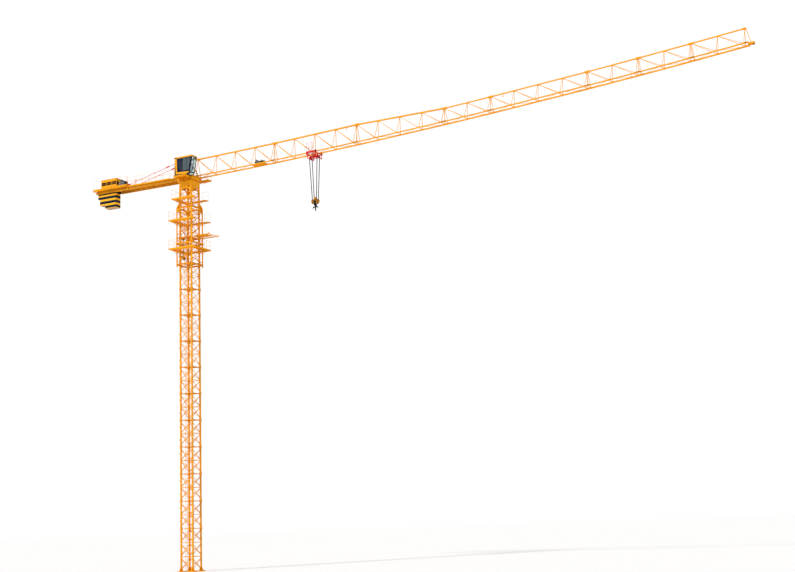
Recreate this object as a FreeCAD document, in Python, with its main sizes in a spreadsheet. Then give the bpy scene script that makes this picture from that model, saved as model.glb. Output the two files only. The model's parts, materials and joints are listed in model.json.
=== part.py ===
import FreeCAD, Part
import math
import os
import re
import Sketcher

# Flat-top tower crane as a 1:10 scale model, in millimetres.
# The origin is on the mast axis, in the plane of the feet's undersides.
# +Z is up, +X runs along the jib, and the cab hangs on the -Y side.

DIMENSIONS = {
    # mast
    "chord_spacing": 155,        # mast chords, centre to centre
    "chord_size": 16,
    "sleeve_size": 23,           # joint sleeve round a chord
    "sleeve_height": 34,
    "brace_width": 7,
    "brace_depth": 5,
    "strip_width": 2,
    "section_height": 300,
    "section_count": 12,
    "base_height": 470,          # feet to the first ring
    "foot_size": 66,
    "foot_thick": 10,
    "tie_width": 18,
    "anchor_spacing": 44,
    "anchor_radius": 2.2,
    "lug_low": 78,               # climbing lugs above each ring
    "lug_high": 224,
    "lug_height": 14,
    "lug_reach": 8.5,
    "ladder_width": 34,
    "ladder_rail": 3,
    "rung_pitch": 30,
    "rung_size": 2.4,
    "rest_thick": 3,
    # climbing frame, measured from the mast top
    "cage_spacing": 209,
    "post_size": 10,
    "cage_below": 645,
    "cage_above": 70,
    "ring_beam": 18,
    "lower_drop": 436,           # platform decks below the mast top
    "feed_drop": 297,
    "middle_drop": 100,
    "deck_thick": 6,
    "deck_half": 175,
    "rail_high": 110,
    "rail_size": 3,
    "feed_reach": 340,
    "feed_rail_width": 5,
    "feed_rail_high": 8,
    "feed_gap": 5.5,             # rails clear the sleeves by this
    "jack_radius": 5.4,
    "jack_bore": 3.6,
    "jack_rod": 3,
    "jack_stroke": 146,
    "yoke_gap": 0.3,
    # transition and slewing base
    "seat_gap": 0.3,
    "transition_height": 240,
    "upper_rise": 158,
    "upper_half": 150,
    "base_plate_half": 100,
    "slew_base_height": 130,
    "slew_ring_radius": 80,
    "slew_ring_height": 15,
    # slewing upper part, heights above the mast top
    "turntable_half_x": 105,
    "turntable_half_y": 95,
    "turntable_height": 45,
    "head_rise": 642,            # apex of the tower head
    "head_apex_x": -20,
    "head_half_y": 50,
    # jib
    "track_radius": 84560,       # camber of the bottom chords
    "track_low_x": -1242,
    "track_low_rise": 404,
    "root_reach": 122.2,
    "bay_length": 264.3,
    "jib_spacing": 95,           # bottom chords, centre to centre
    "jib_deep": 212,
    "jib_shallow": 160,
    "jib_chord": 12,
    "jib_top_inner": 15,
    "jib_top_outer": 12,
    "jib_brace": 6,
    "ledge_width": 7,
    "ledge_thick": 2.5,
    "joint_gap": 0.6,
    "strut_share": 0.877,        # a strut's foot along its bay
    # counter-jib
    "counter_reach": 1322,
    "counter_half_y": 60,
    "beam_height": 33,
    "beam_flange": 14,
    "beam_flange_thick": 6,
    "beam_web": 4,
    "beam_rise": 394,
    "rear_deck_front": 841,
    "rear_deck_back": 1340,
    "rear_deck_half": 100,
    "walk_half": 75,
    "counter_deck": 20,
    "walk_deck": 6,
    "rear_beam_cut": 4,         # the girders are shallower over the slabs
    "slab_half": 44,
    "slab_front": 1040,
    "slab_thick": 39.6,
    "slab_gap": 0.6,
    # trolley, ropes and hook
    "trolley_x": 1685,
    "trolley_half": 66,
    "wheel_radius": 7,
    "wheel_width": 5,
    "wheel_gap": 1,
    "track_clear": 2,
    "side_gap": 5.5,
    "plate_thick": 3,
    "sheave_radius": 14.2,
    "sheave_x": 49,
    "sheave_drop": 28,
    "trolley_leg": 53,
    "block_sheave": 9.2,
    "block_x": 25,
    "rope_radius": 2.4,
    "rope_gap": 0.3,
    "hook_drop": 550,
    # cab
    "cab_back": -66,
    "cab_front": 178,
    "cab_near": -200,
    "cab_far": -95.5,
    "cab_rise": 415,             # cab floor underside above the mast top
    "cab_height": 213,
    "cab_wall": 5,
    "pane_thick": 2,
}

doc = FreeCAD.newDocument("TowerCrane")
sheet = doc.addObject("Spreadsheet::Sheet", "Dims")
for row, (alias, amount) in enumerate(DIMENSIONS.items(), start=1):
    sheet.set(f"A{row}", alias)
    sheet.set(f"B{row}", str(amount))
    sheet.setAlias(f"B{row}", alias)
doc.recompute()

TOP = "(base_height + section_height * section_count)"
CHORD = "(chord_spacing / 2)"
POST = "(cage_spacing / 2)"
NODES = []


def bound(text):
    """The expression with every sheet alias given its sheet."""
    return re.sub(
        r"[A-Za-z_]\w*",
        lambda word: "Dims." + word.group(0) if word.group(0) in DIMENSIONS else word.group(0),
        text,
    )


def number(text):
    """The value of an expression in the sheet's aliases."""
    return float(sheet.evalExpression(text))


def place(item, x="0", y="0", z="0"):
    """Bind an object's place to expressions."""
    item.setExpression("Placement.Base.x", bound(x))
    item.setExpression("Placement.Base.y", bound(y))
    item.setExpression("Placement.Base.z", bound(z))
    return item


def block(x, y, z, name="Block"):
    """A box from its low and high expression on each axis."""
    item = doc.addObject("Part::Box", name)
    item.setExpression("Length", bound(f"({x[1]}) - ({x[0]})"))
    item.setExpression("Width", bound(f"({y[1]}) - ({y[0]})"))
    item.setExpression("Height", bound(f"({z[1]}) - ({z[0]})"))
    return place(item, x[0], y[0], z[0])


def cylinder(axis, centre, radius, length, name="Cylinder"):
    """A cylinder whose base centre is given, running along +X, +Y or +Z."""
    item = doc.addObject("Part::Cylinder", name)
    item.setExpression("Radius", bound(radius))
    item.setExpression("Height", bound(length))
    turns = {
        "X": FreeCAD.Rotation(FreeCAD.Vector(0, 1, 0), 90),
        "Y": FreeCAD.Rotation(FreeCAD.Vector(1, 0, 0), -90),
        "Z": FreeCAD.Rotation(),
    }
    item.Placement.Rotation = turns[axis]
    return place(item, *centre)


def cut(base, tool, name="Cut"):
    item = doc.addObject("Part::Cut", name)
    item.Base = base
    item.Tool = tool
    return item


def fused(parts, name="Fuse"):
    item = doc.addObject("Part::MultiFuse", name)
    item.Shapes = parts
    return item


def gathered(parts, name="Group"):
    item = doc.addObject("Part::Compound", name)
    item.Links = parts
    return item


def node(label, item):
    """Name an object as a sub-part of the crane."""
    item.Label = label
    NODES.append((label, item))
    return item


def new_body(name):
    body = doc.addObject("PartDesign::Body", name)
    body.AllowCompound = True
    return body


def sketch_in(body, plane, outlines):
    """A sketch of closed outlines whose corners are bound to the sheet."""
    sketch = body.newObject("Sketcher::SketchObject", body.Name + "Sketch")
    origin = [item for item in body.Origin.OriginFeatures if item.Role == plane][0]
    sketch.AttachmentSupport = [(origin, "")]
    sketch.MapMode = "FlatFace"
    for corners in outlines:
        if isinstance(corners, tuple):
            circle_in(sketch, *corners)
        else:
            polygon_in(sketch, corners)
    return sketch


def circle_in(sketch, across, up, radius):
    centre = FreeCAD.Vector(number(across), number(up), 0)
    ring = sketch.addGeometry(Part.Circle(centre, FreeCAD.Vector(0, 0, 1), number(radius)), False)
    bind_point(sketch, ring, 3, across, up)
    size = sketch.addConstraint(Sketcher.Constraint("Radius", ring, number(radius)))
    sketch.setExpression(f"Constraints[{size}]", bound(radius))


def polygon_in(sketch, corners):
    first = sketch.GeometryCount
    points = [FreeCAD.Vector(number(across), number(up), 0) for across, up in corners]
    count = len(points)
    lines = [Part.LineSegment(points[i], points[(i + 1) % count]) for i in range(count)]
    sketch.addGeometry(lines, False)
    for i in range(count):
        link = Sketcher.Constraint("Coincident", first + i, 2, first + (i + 1) % count, 1)
        sketch.addConstraint(link)
    for i, (across, up) in enumerate(corners):
        bind_point(sketch, first + i, 1, across, up)


def bind_point(sketch, geometry, end, across, up):
    for kind, text in (("DistanceX", across), ("DistanceY", up)):
        rule = Sketcher.Constraint(kind, -1, 1, geometry, end, number(text))
        index = sketch.addConstraint(rule)
        sketch.setExpression(f"Constraints[{index}]", bound(text))


def pad_in(body, sketch, thickness, midplane=True):
    pad = body.newObject("PartDesign::Pad", body.Name + "Pad")
    pad.Profile = sketch
    pad.Midplane = midplane
    pad.setExpression("Length", bound(thickness))
    body.Tip = pad
    return pad


def repeat_in(body, features, direction, pitch, count):
    """Repeat features along a direction, count times in all."""
    pattern = body.newObject("PartDesign::LinearPattern", body.Name + "Pattern")
    pattern.Originals = features
    pattern.Direction = direction
    pattern.setExpression("Length", bound(f"({pitch}) * ({count} - 1)"))
    pattern.setExpression("Occurrences", bound(count))
    body.Tip = pattern
    return pattern


def plate(name, plane, outlines, thickness, centre=("0", "0", "0")):
    """A flat plate: outlines in a plane, padded evenly to both sides."""
    body = new_body(name)
    pad_in(body, sketch_in(body, plane, outlines), thickness)
    return place(body, *centre)


def rectangle(left, right, low, high):
    return [(left, low), (right, low), (right, high), (left, high)]


def x_brace(inner, low, high, width="brace_width"):
    """The outline of two crossed bars between x = -inner and x = inner."""
    slope = f"((({high}) - ({low})) / (2 * ({inner})))"
    half = f"({width} / 2 * sqrt(1 + {slope} ^ 2))"
    middle = f"((({low}) + ({high})) / 2)"
    waist = f"({half} / {slope})"
    left = f"-({inner})"
    return [
        (left, f"{low} - {half}"),
        ("0", f"{middle} - {half}"),
        (inner, f"{low} - {half}"),
        (inner, f"{low} + {half}"),
        (waist, middle),
        (inner, f"{high} - {half}"),
        (inner, f"{high} + {half}"),
        ("0", f"{middle} + {half}"),
        (left, f"{high} + {half}"),
        (left, f"{high} - {half}"),
        (f"-{waist}", middle),
        (left, f"{low} + {half}"),
    ]


def bar(start, end, width, height):
    """A straight bar of rectangular section between two points."""
    start = FreeCAD.Vector(*start)
    run = FreeCAD.Vector(*end) - start
    length = run.Length
    run.normalize()
    side = FreeCAD.Vector(0, 0, 1).cross(run)
    if side.Length < 1e-6:
        side = FreeCAD.Vector(0, 1, 0)
    side.normalize()
    up = run.cross(side)
    shape = Part.makeBox(length, width, height, FreeCAD.Vector(0, -width / 2, -height / 2))
    shape.Placement = FreeCAD.Placement(start, FreeCAD.Rotation(run, side, up, "XZY"))
    return shape


def frame_of(shapes, name="Frame"):
    """One fused lattice made from bars and blocks."""
    item = doc.addObject("Part::Feature", name)
    item.Shape = shapes[0].multiFuse(shapes[1:])
    return item


def solid_block(x, y, z):
    return Part.makeBox(x[1] - x[0], y[1] - y[0], z[1] - z[0], FreeCAD.Vector(x[0], y[0], z[0]))


# ---------------------------------------------------------------- mast

def base_frame():
    """Four foot plates and the crossed ties that join them at the mast axis."""
    plates = []
    for sx in (-1, 1):
        for sy in (-1, 1):
            holes = []
            for hx in (-1, 1):
                for hy in (-1, 1):
                    holes.append((f"{hx} * anchor_spacing / 2", f"{hy} * anchor_spacing / 2", "anchor_radius"))
            square = rectangle("-foot_size / 2", "foot_size / 2", "-foot_size / 2", "foot_size / 2")
            centre = (f"{sx} * {CHORD}", f"{sy} * {CHORD}", "foot_thick / 2")
            plates.append(plate("Foot", "XY_Plane", [square] + holes, "foot_thick", centre))
    ties = []
    for angle in (45, -45):
        tie = block(("0", f"2 * {CHORD} * sqrt(2)"), ("0", "tie_width"), ("0", "foot_thick"), "Tie")
        tie.Placement.Rotation = FreeCAD.Rotation(FreeCAD.Vector(0, 0, 1), angle)
        along = f"{CHORD} * sqrt(2)"
        turn = math.copysign(1, angle)
        place(
            tie,
            f"-{along} * cos(45) + {turn} * tie_width / 2 * sin(45)",
            f"-{turn} * {along} * sin(45) - tie_width / 2 * cos(45)",
        )
        ties.append(tie)
    frame = fused(plates + ties, "FootCross")
    frame.Refine = True
    drills = []
    for sx in (-1, 1):
        for sy in (-1, 1):
            x, y = (f"{s} * ({CHORD} - anchor_spacing / 2)" for s in (sx, sy))
            drills.append(cylinder("Z", (x, y, "-1"), "anchor_radius", "foot_thick + 2", "Drill"))
    return node("base_frame", cut(frame, gathered(drills, "Drills"), "BaseFrame"))


def mast_chord(sx, sy):
    """One mast chord with its joint sleeves, and climbing lugs on the rear ones."""
    body = new_body("Chord")
    square = rectangle("-chord_size / 2", "chord_size / 2", "-chord_size / 2", "chord_size / 2")
    pad_in(body, sketch_in(body, "XY_Plane", [square]), f"{TOP} - foot_thick", midplane=False)
    collar = rectangle("-sleeve_size / 2", "sleeve_size / 2", "-sleeve_size / 2", "sleeve_size / 2")
    sketch = sketch_in(body, "XY_Plane", [collar])
    sketch.setExpression("AttachmentOffset.Base.z", bound("base_height - foot_thick"))
    sleeve = pad_in(body, sketch, "sleeve_height")
    repeat_in(body, [sleeve], (sketch, ["N_Axis"]), "section_height", "section_count")
    cap = sketch_in(body, "XY_Plane", [collar])
    cap.setExpression("AttachmentOffset.Base.z", bound(f"{TOP} - foot_thick - sleeve_height / 2"))
    pad_in(body, cap, "sleeve_height / 2", midplane=False)
    if sx < 0:
        for lift in ("lug_low", "lug_high"):
            outer = "-chord_size / 2 - lug_reach"
            lug = rectangle(outer, "-chord_size / 2 + 1", "-chord_size / 2", "chord_size / 2")
            lug_sketch = sketch_in(body, "XY_Plane", [lug])
            lift_text = f"base_height - foot_thick + {lift}"
            lug_sketch.setExpression("AttachmentOffset.Base.z", bound(lift_text))
            lug_pad = pad_in(body, lug_sketch, "lug_height")
            repeat_in(body, [lug_pad], (lug_sketch, ["N_Axis"]), "section_height", "section_count")
    return place(body, f"{sx} * {CHORD}", f"{sy} * {CHORD}", "foot_thick")


INNER = f"({CHORD} - chord_size / 2)"
RING_INNER = f"({CHORD} - sleeve_size / 2)"


def side_strips(body, plane, edge, low, high):
    """Thin strips up both edges of a flat lattice, which make it one solid."""
    strips = [
        rectangle(f"-{edge}", f"-{edge} + strip_width", low, high),
        rectangle(f"{edge} - strip_width", edge, low, high),
    ]
    pad_in(body, sketch_in(body, plane, strips), "brace_depth")


def mast_side(name, plane, centre):
    """One flat side of the mast: crossed bars and level bars between two chords."""
    body = new_body(name)
    panel = "((base_height - foot_thick) / 3)"
    outlines = []
    for k in range(3):
        low = f"(foot_thick + {k} * {panel})"
        outlines.append(x_brace(INNER, f"{low} + 0.16 * {panel}", f"{low} + 0.84 * {panel}"))
        if k:
            outlines.append(rectangle(f"-{INNER}", INNER, f"{low} - brace_width / 2", f"{low} + brace_width / 2"))
    pad_in(body, sketch_in(body, plane, outlines), "brace_depth")
    ring = "base_height"
    outlines = [
        rectangle(f"-{RING_INNER}", RING_INNER, f"{ring} - brace_width / 2", f"{ring} + brace_width / 2"),
        x_brace(INNER, f"{ring} + 0.11 * section_height", f"{ring} + 0.46 * section_height"),
        rectangle(
            f"-{INNER}", INNER,
            f"{ring} + section_height / 2 - brace_width / 2",
            f"{ring} + section_height / 2 + brace_width / 2",
        ),
        x_brace(INNER, f"{ring} + 0.54 * section_height", f"{ring} + 0.89 * section_height"),
    ]
    sketch = sketch_in(body, plane, outlines)
    bay = pad_in(body, sketch, "brace_depth")
    repeat_in(body, [bay], (sketch, ["V_Axis"]), "section_height", "section_count")
    top = rectangle(f"-{RING_INNER}", RING_INNER, f"{TOP} - brace_width", TOP)
    pad_in(body, sketch_in(body, plane, [top]), "brace_depth")
    side_strips(body, plane, RING_INNER, "foot_thick + 0.3", TOP)
    return place(body, *centre)


def rest_platforms():
    """A floor inside each ring, with a ladder hole at its rear."""
    half = f"({CHORD} - brace_depth / 2 - 1)"
    body = new_body("Rest")
    hole_back = f"-{half} + 6"
    hole = rectangle(hole_back, f"{hole_back} + 46", "-ladder_width / 2 - 6", "ladder_width / 2 + 6")
    corner = f"({CHORD} - sleeve_size / 2 - 0.5)"
    cross = [
        (f"-{corner}", f"-{half}"), (corner, f"-{half}"), (corner, f"-{corner}"), (half, f"-{corner}"),
        (half, corner), (corner, corner), (corner, half), (f"-{corner}", half),
        (f"-{corner}", corner), (f"-{half}", corner), (f"-{half}", f"-{corner}"), (f"-{corner}", f"-{corner}"),
    ]
    sketch = sketch_in(body, "XY_Plane", [cross, hole])
    sketch.setExpression("AttachmentOffset.Base.z", bound("base_height"))
    floor = pad_in(body, sketch, "rest_thick")
    repeat_in(body, [floor], (sketch, ["N_Axis"]), "section_height", "section_count")
    return node("mast_rest_platforms", body)


LADDER_X = f"(-{CHORD} + brace_depth / 2 + 14)"


def ladder():
    body = new_body("Ladder")
    outer = "ladder_width / 2"
    low = "foot_thick"
    rails = [
        rectangle(f"-{outer}", f"-{outer} + ladder_rail", low, TOP),
        rectangle(f"{outer} - ladder_rail", outer, low, TOP),
    ]
    pad_in(body, sketch_in(body, "YZ_Plane", rails), "ladder_rail")
    first = "foot_thick + rung_pitch"
    rung = rectangle(f"-{outer} + 1", f"{outer} - 1", f"{first} - rung_size / 2", f"{first} + rung_size / 2")
    sketch = sketch_in(body, "YZ_Plane", [rung])
    pad = pad_in(body, sketch, "rung_size")
    repeat_in(body, [pad], (sketch, ["V_Axis"]), "rung_pitch", f"floor(({TOP} - foot_thick) / rung_pitch - 0.5)")
    clips = [
        rectangle("-6.7", "0", f"-{outer}", f"-{outer} + ladder_rail"),
        rectangle("-6.7", "0", f"{outer} - ladder_rail", outer),
    ]
    clip_sketch = sketch_in(body, "XY_Plane", clips)
    clip_sketch.setExpression("AttachmentOffset.Base.z", bound("base_height"))
    clip = pad_in(body, clip_sketch, "rest_thick")
    repeat_in(body, [clip], (clip_sketch, ["N_Axis"]), "section_height", "section_count")
    return node("mast_ladder", place(body, LADDER_X))


def mast():
    base_frame()
    chords = [mast_chord(sx, sy) for sx in (-1, 1) for sy in (-1, 1)]
    node("mast_chords", gathered(chords, "Chords"))
    node("mast_side_right", mast_side("SideRight", "XZ_Plane", ("0", f"-{CHORD}", "0")))
    node("mast_side_left", mast_side("SideLeft", "XZ_Plane", ("0", CHORD, "0")))
    node("mast_side_rear", mast_side("SideRear", "YZ_Plane", (f"-{CHORD}", "0", "0")))
    node("mast_side_front", mast_side("SideFront", "YZ_Plane", (CHORD, "0", "0")))
    rest_platforms()
    ladder()


# ------------------------------------------------------- climbing frame

CAGE_LOW = f"({TOP} - cage_below)"
CAGE_HIGH = f"({TOP} + cage_above)"
POST_OUT = f"({POST} + post_size / 2)"
POST_IN = f"({POST} - post_size / 2)"
DECKS = {"lower": f"({TOP} - lower_drop)", "feed": f"({TOP} - feed_drop)", "middle": f"({TOP} - middle_drop)"}


def cage_posts():
    posts = []
    for sx in (-1, 1):
        for sy in (-1, 1):
            x = (f"{sx} * {POST} - post_size / 2", f"{sx} * {POST} + post_size / 2")
            y = (f"{sy} * {POST} - post_size / 2", f"{sy} * {POST} + post_size / 2")
            posts.append(block(x, y, (CAGE_LOW, CAGE_HIGH), "Post"))
    return node("cage_posts", gathered(posts, "Posts"))


def cage_rings():
    """Square beam rings that tie the posts, low down and at the top."""
    beams = []
    for low in (f"{CAGE_LOW} + 21", f"{CAGE_HIGH} - ring_beam - 4"):
        z = (low, f"{low} + ring_beam")
        for side in (-1, 1):
            y = (f"{side} * {POST} - post_size / 2", f"{side} * {POST} + post_size / 2")
            beams.append(block((f"-{POST_IN}", POST_IN), y, z, "Beam"))
            beams.append(block(y, (f"-{POST_IN}", POST_IN), z, "Beam"))
    return node("cage_ring_beams", gathered(beams, "Rings"))


def cage_side(label, plane, centre, edge):
    """A braced side of the cage, between the posts and the two ring beams."""
    levels = [f"({CAGE_LOW} + 21 + ring_beam)", DECKS["lower"], DECKS["feed"], DECKS["middle"]]
    levels.append(f"({CAGE_HIGH} - ring_beam - 4)")
    outlines = []
    for low, high in zip(levels[:-1], levels[1:]):
        rise = f"(({high}) - ({low}))"
        outlines.append(x_brace(POST_IN, f"{low} + 0.14 * {rise}", f"{high} - 0.14 * {rise}", "(brace_width - 1)"))
    for level in levels[1:-1]:
        outlines.append(rectangle(f"-{POST_IN}", POST_IN, f"{level} + 0.3", f"{level} + 0.3 + brace_width"))
    body = plate("Side", plane, outlines, "brace_depth", centre)
    side_strips(body, plane, edge, levels[0], levels[-1])
    return node(label, body)


def shoulders():
    """Gusset plates that carry the cage from the transition section's chords."""
    plates = []
    low = number(f"{TOP} + 14")
    high = number(f"{TOP} + 125")
    post_top = number(CAGE_HIGH)
    inner = number(f"{CHORD} + chord_size / 2 + 0.2")
    outer = number(f"{POST_IN} - 2")
    thick = 5
    for sx in (-1, 1):
        for sy in (-1, 1):
            corners = [(inner, low), (outer, low), (outer, post_top), (inner, high), (inner, low)]
            points = [FreeCAD.Vector(sx * r, sy * r, z) for r, z in corners]
            face = Part.Face(Part.makePolygon(points))
            across = FreeCAD.Vector(-sy, sx, 0)
            across.normalize()
            solid = face.extrude(across * thick)
            solid.translate(across * (-thick / 2))
            plates.append(solid)
    item = doc.addObject("Part::Feature", "Shoulders")
    item.Shape = Part.makeCompound(plates)
    return node("cage_shoulder_plates", item)


def railing(points, low, posts_between, closed=False):
    """A handrail with posts along a path of (x, y) corners."""
    high = number("rail_high")
    size = number("rail_size")
    shapes = []
    path = points + points[:1] if closed else points
    for (x0, y0), (x1, y1) in zip(path[:-1], path[1:]):
        for level in (high, high / 2):
            shapes.append(bar((x0, y0, low + level), (x1, y1, low + level), size, size))
        for k in range(posts_between + 2):
            t = k / (posts_between + 1)
            x = x0 + (x1 - x0) * t
            y = y0 + (y1 - y0) * t
            shapes.append(solid_block((x - size / 2, x + size / 2), (y - size / 2, y + size / 2),
                                      (low, low + high + size / 2)))
    return shapes


def square_deck(label, level, half, hole, open_front, front=None):
    """A walkway round the cage, with its handrail; open_front leaves the feed side clear."""
    top = number(level)
    thick = number("deck_thick")
    size = number(half)
    inner = number(hole)
    front = number(front) if front else size
    inset = size - number("rail_size") / 2
    front_inset = front - number("rail_size") / 2
    z = (top - thick, top)
    shapes = [
        solid_block((-size, front), (-size, -inner), z),
        solid_block((-size, front), (inner, size), z),
        solid_block((-size, -inner), (-inner, inner), z),
    ]
    if open_front:
        corners = [(front_inset, -inset), (-inset, -inset), (-inset, inset), (front_inset, inset)]
        shapes += railing(corners, top, 2)
    else:
        shapes.append(solid_block((inner, front), (-inner, inner), z))
        corners = [(front_inset, -inset), (-inset, -inset), (-inset, inset), (front_inset, inset)]
        shapes += railing(corners, top, 2, closed=True)
    return node(label, frame_of(shapes, "Deck"))


def feed_platform():
    """The introduction rails, their outer deck and the two tie rods."""
    rail_in = number("chord_spacing / 2 + sleeve_size / 2 + feed_gap")
    width = number("feed_rail_width")
    top = number(DECKS["feed"])
    high = number("feed_rail_high")
    reach = number("feed_reach")
    post_out = number(POST_OUT)
    shapes = []
    for side in (-1, 1):
        y = sorted((side * rail_in, side * (rail_in + width)))
        shapes.append(solid_block((-post_out - 20, reach), y, (top - high, top)))
    for k in range(6):
        x = post_out + 6 + k * (reach - post_out - 12) / 5
        shapes.append(solid_block((x - 3, x + 3), (-rail_in - 1, rail_in + 1), (top - high, top - 1)))
    shapes.append(solid_block((post_out + 4, reach), (-rail_in - 1, rail_in + 1), (top - 2, top)))
    tie_top = number(DECKS["middle"]) - 25
    for side in (-1, 1):
        y = side * (rail_in + width / 2)
        shapes.append(bar((post_out - 2, y, tie_top), (reach - 6, y, top - 2), 2.4, 2.4))
    return node("feed_platform", frame_of(shapes, "Feed"))


YOKE_LOW = f"(base_height + section_height * (section_count - 2) + lug_low + lug_height / 2 + yoke_gap)"
YOKE_X = f"(-{CHORD} - chord_size / 2 - lug_reach / 2 - 0.75)"


def jack():
    """The yoke hangs on the lugs with its rod standing inside the barrel."""
    arm = f"({CHORD} + chord_size / 2)"
    yoke = block((f"{YOKE_X} - 3.5", f"{YOKE_X} + 3.5"), (f"-{arm}", arm), (YOKE_LOW, f"{YOKE_LOW} + 10"), "Yoke")
    rod_top = f"({YOKE_LOW} + 30 + jack_stroke + 10)"
    rod = cylinder("Z", (YOKE_X, "0", f"{YOKE_LOW} + 9"), "jack_rod", f"{rod_top} - {YOKE_LOW} - 9", "Rod")
    node("jack_yoke", fused([yoke, rod], "YokeAndRod"))
    barrel_low = f"({YOKE_LOW} + 20)"
    barrel_high = f"({DECKS['feed']} - 10)"
    outer = cylinder("Z", (YOKE_X, "0", barrel_low), "jack_radius", f"{barrel_high} - {barrel_low}", "Barrel")
    bore = cylinder("Z", (YOKE_X, "0", f"{barrel_low} - 1"), "jack_bore", f"{rod_top} + 6 - {barrel_low}", "Bore")
    hold = block((f"-{POST} - brace_depth / 2", f"{YOKE_X} + 5"), ("-12", "12"), (f"{barrel_high} - 1", f"{barrel_high} + 9.7"))
    node("jack_barrel", fused([cut(outer, bore), hold], "BarrelAndHold"))


def climbing_frame():
    cage_posts()
    cage_rings()
    cage_side("cage_side_right", "XZ_Plane", ("0", f"-{POST}", "0"), POST_IN)
    cage_side("cage_side_left", "XZ_Plane", ("0", POST, "0"), POST_IN)
    rail_inner = f"({CHORD} + sleeve_size / 2 + feed_gap - 0.5)"
    cage_side("cage_side_rear", "YZ_Plane", (f"-{POST}", "0", "0"), rail_inner)
    shoulders()
    hole = f"{POST_OUT} + 0.3"
    square_deck("platform_lower", DECKS["lower"], "deck_half", hole, False)
    square_deck("platform_middle", DECKS["middle"], "deck_half", hole, True)
    feed_platform()
    jack()


# ------------------------------------------ transition and slewing base

TRANSITION_LOW = f"({TOP} + seat_gap)"
TRANSITION_HIGH = f"({TOP} + transition_height)"


def transition():
    """The mast section under the slewing base, with a chord at each corner."""
    chords = []
    for sx in (-1, 1):
        for sy in (-1, 1):
            x = (f"{sx} * {CHORD} - chord_size / 2", f"{sx} * {CHORD} + chord_size / 2")
            y = (f"{sy} * {CHORD} - chord_size / 2", f"{sy} * {CHORD} + chord_size / 2")
            chords.append(block(x, y, (TRANSITION_LOW, TRANSITION_HIGH), "Leg"))
    node("transition_chords", gathered(chords, "Legs"))
    sides = []
    middle = f"({TOP} + transition_height / 2)"
    for name, plane, centre in (
        ("Right", "XZ_Plane", ("0", f"-{CHORD}", "0")),
        ("Left", "XZ_Plane", ("0", CHORD, "0")),
        ("Rear", "YZ_Plane", (f"-{CHORD}", "0", "0")),
        ("Front", "YZ_Plane", (CHORD, "0", "0")),
    ):
        outlines = []
        for level in (f"({TOP} + brace_width)", middle, f"({TRANSITION_HIGH} - brace_width)"):
            outlines.append(rectangle(f"-{INNER}", INNER, f"{level} - brace_width / 2", f"{level} + brace_width / 2"))
        outlines.append(x_brace(INNER, f"{TOP} + 25", f"{middle} - 16"))
        outlines.append(x_brace(INNER, f"{middle} + 16", f"{TRANSITION_HIGH} - 25"))
        side = plate("Transition" + name, plane, outlines, "brace_depth", centre)
        side_strips(side, plane, INNER, f"{TOP} + 4", f"{TRANSITION_HIGH} - 4")
        sides.append(side)
    node("transition_bracing", gathered(sides, "TransitionSides"))
    hole = f"{CHORD} + chord_size / 2 + 0.3"
    square_deck("platform_upper", f"{TOP} + upper_rise", "upper_half", hole, True, "upper_half + 12")


BASE_LOW = TRANSITION_HIGH
BASE_HIGH = f"({TOP} + transition_height + slew_base_height)"


def slewing_base():
    """Arched side plates, a top plate and the fixed half of the slewing ring."""
    half = f"({CHORD} + chord_size / 2)"
    foot = f"({half} - 26)"
    arch = [
        (f"-{half}", BASE_LOW), (f"-{foot}", BASE_LOW), (f"-{foot} * 0.86", f"{BASE_LOW} + 30"),
        (f"-{foot} * 0.5", f"{BASE_LOW} + 44"), (f"{foot} * 0.5", f"{BASE_LOW} + 44"),
        (f"{foot} * 0.86", f"{BASE_LOW} + 30"), (foot, BASE_LOW), (half, BASE_LOW),
        (half, f"{BASE_HIGH} - 8"), (f"-{half}", f"{BASE_HIGH} - 8"),
    ]
    holes = [(f"{side} * {half} * 0.6", f"{BASE_LOW} + 62", "13") for side in (-1, 1)]
    walls = []
    for side in (-1, 1):
        walls.append(plate("ArchX", "XZ_Plane", [arch] + holes, "6", ("0", f"{side} * ({half} - 3)", "0")))
        walls.append(plate("ArchY", "YZ_Plane", [arch] + holes, "6", (f"{side} * ({half} - 3)", "0", "0")))
    top = block(
        ("-base_plate_half", "base_plate_half"), ("-base_plate_half", "base_plate_half"),
        (f"{BASE_HIGH} - 8.5", BASE_HIGH), "BaseTop",
    )
    well = cylinder("Z", ("0", "0", f"{BASE_HIGH} - 9"), "slew_ring_radius - 20", "60", "Well")
    ring = cylinder("Z", ("0", "0", f"{BASE_HIGH} - 1"), "slew_ring_radius", "slew_ring_height / 2 + 1", "Ring")
    crown = cut(fused([top, ring], "Crown"), well, "CrownBored")
    return node("slewing_base", fused(walls + [crown], "SlewingBase"))


# ------------------------------------------------------- slewing upper part

TABLE_LOW = f"({BASE_HIGH} + slew_ring_height)"
TABLE_HIGH = f"({TABLE_LOW} + turntable_height)"


def turntable():
    box = block(
        ("-turntable_half_x", "turntable_half_x"), ("-turntable_half_y", "turntable_half_y"),
        (TABLE_LOW, TABLE_HIGH), "Table",
    )
    ring = cylinder(
        "Z", ("0", "0", f"{BASE_HIGH} + slew_ring_height / 2 + 0.3"), "slew_ring_radius",
        "slew_ring_height / 2 + 0.7", "UpperRing",
    )
    well = cylinder("Z", ("0", "0", f"{BASE_HIGH}"), "slew_ring_radius - 20", "200", "UpperWell")
    lugs = []
    track = number("track_low_rise") + number(TOP)
    root = track_height(number("root_reach"))
    for side in (-1, 1):
        y = sorted((side * (number("jib_spacing") / 2 - 6), side * (number("jib_spacing") / 2 + 6)))
        x = (number("turntable_half_x") - 1, number("root_reach") - 0.8)
        lug = doc.addObject("Part::Feature", "RootLug")
        lug.Shape = solid_block(x, y, (root - 9, root + 9))
        lugs.append(lug)
    return node("turntable", cut(fused([box, ring] + lugs, "TableSolid"), well, "TableBored"))


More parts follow.
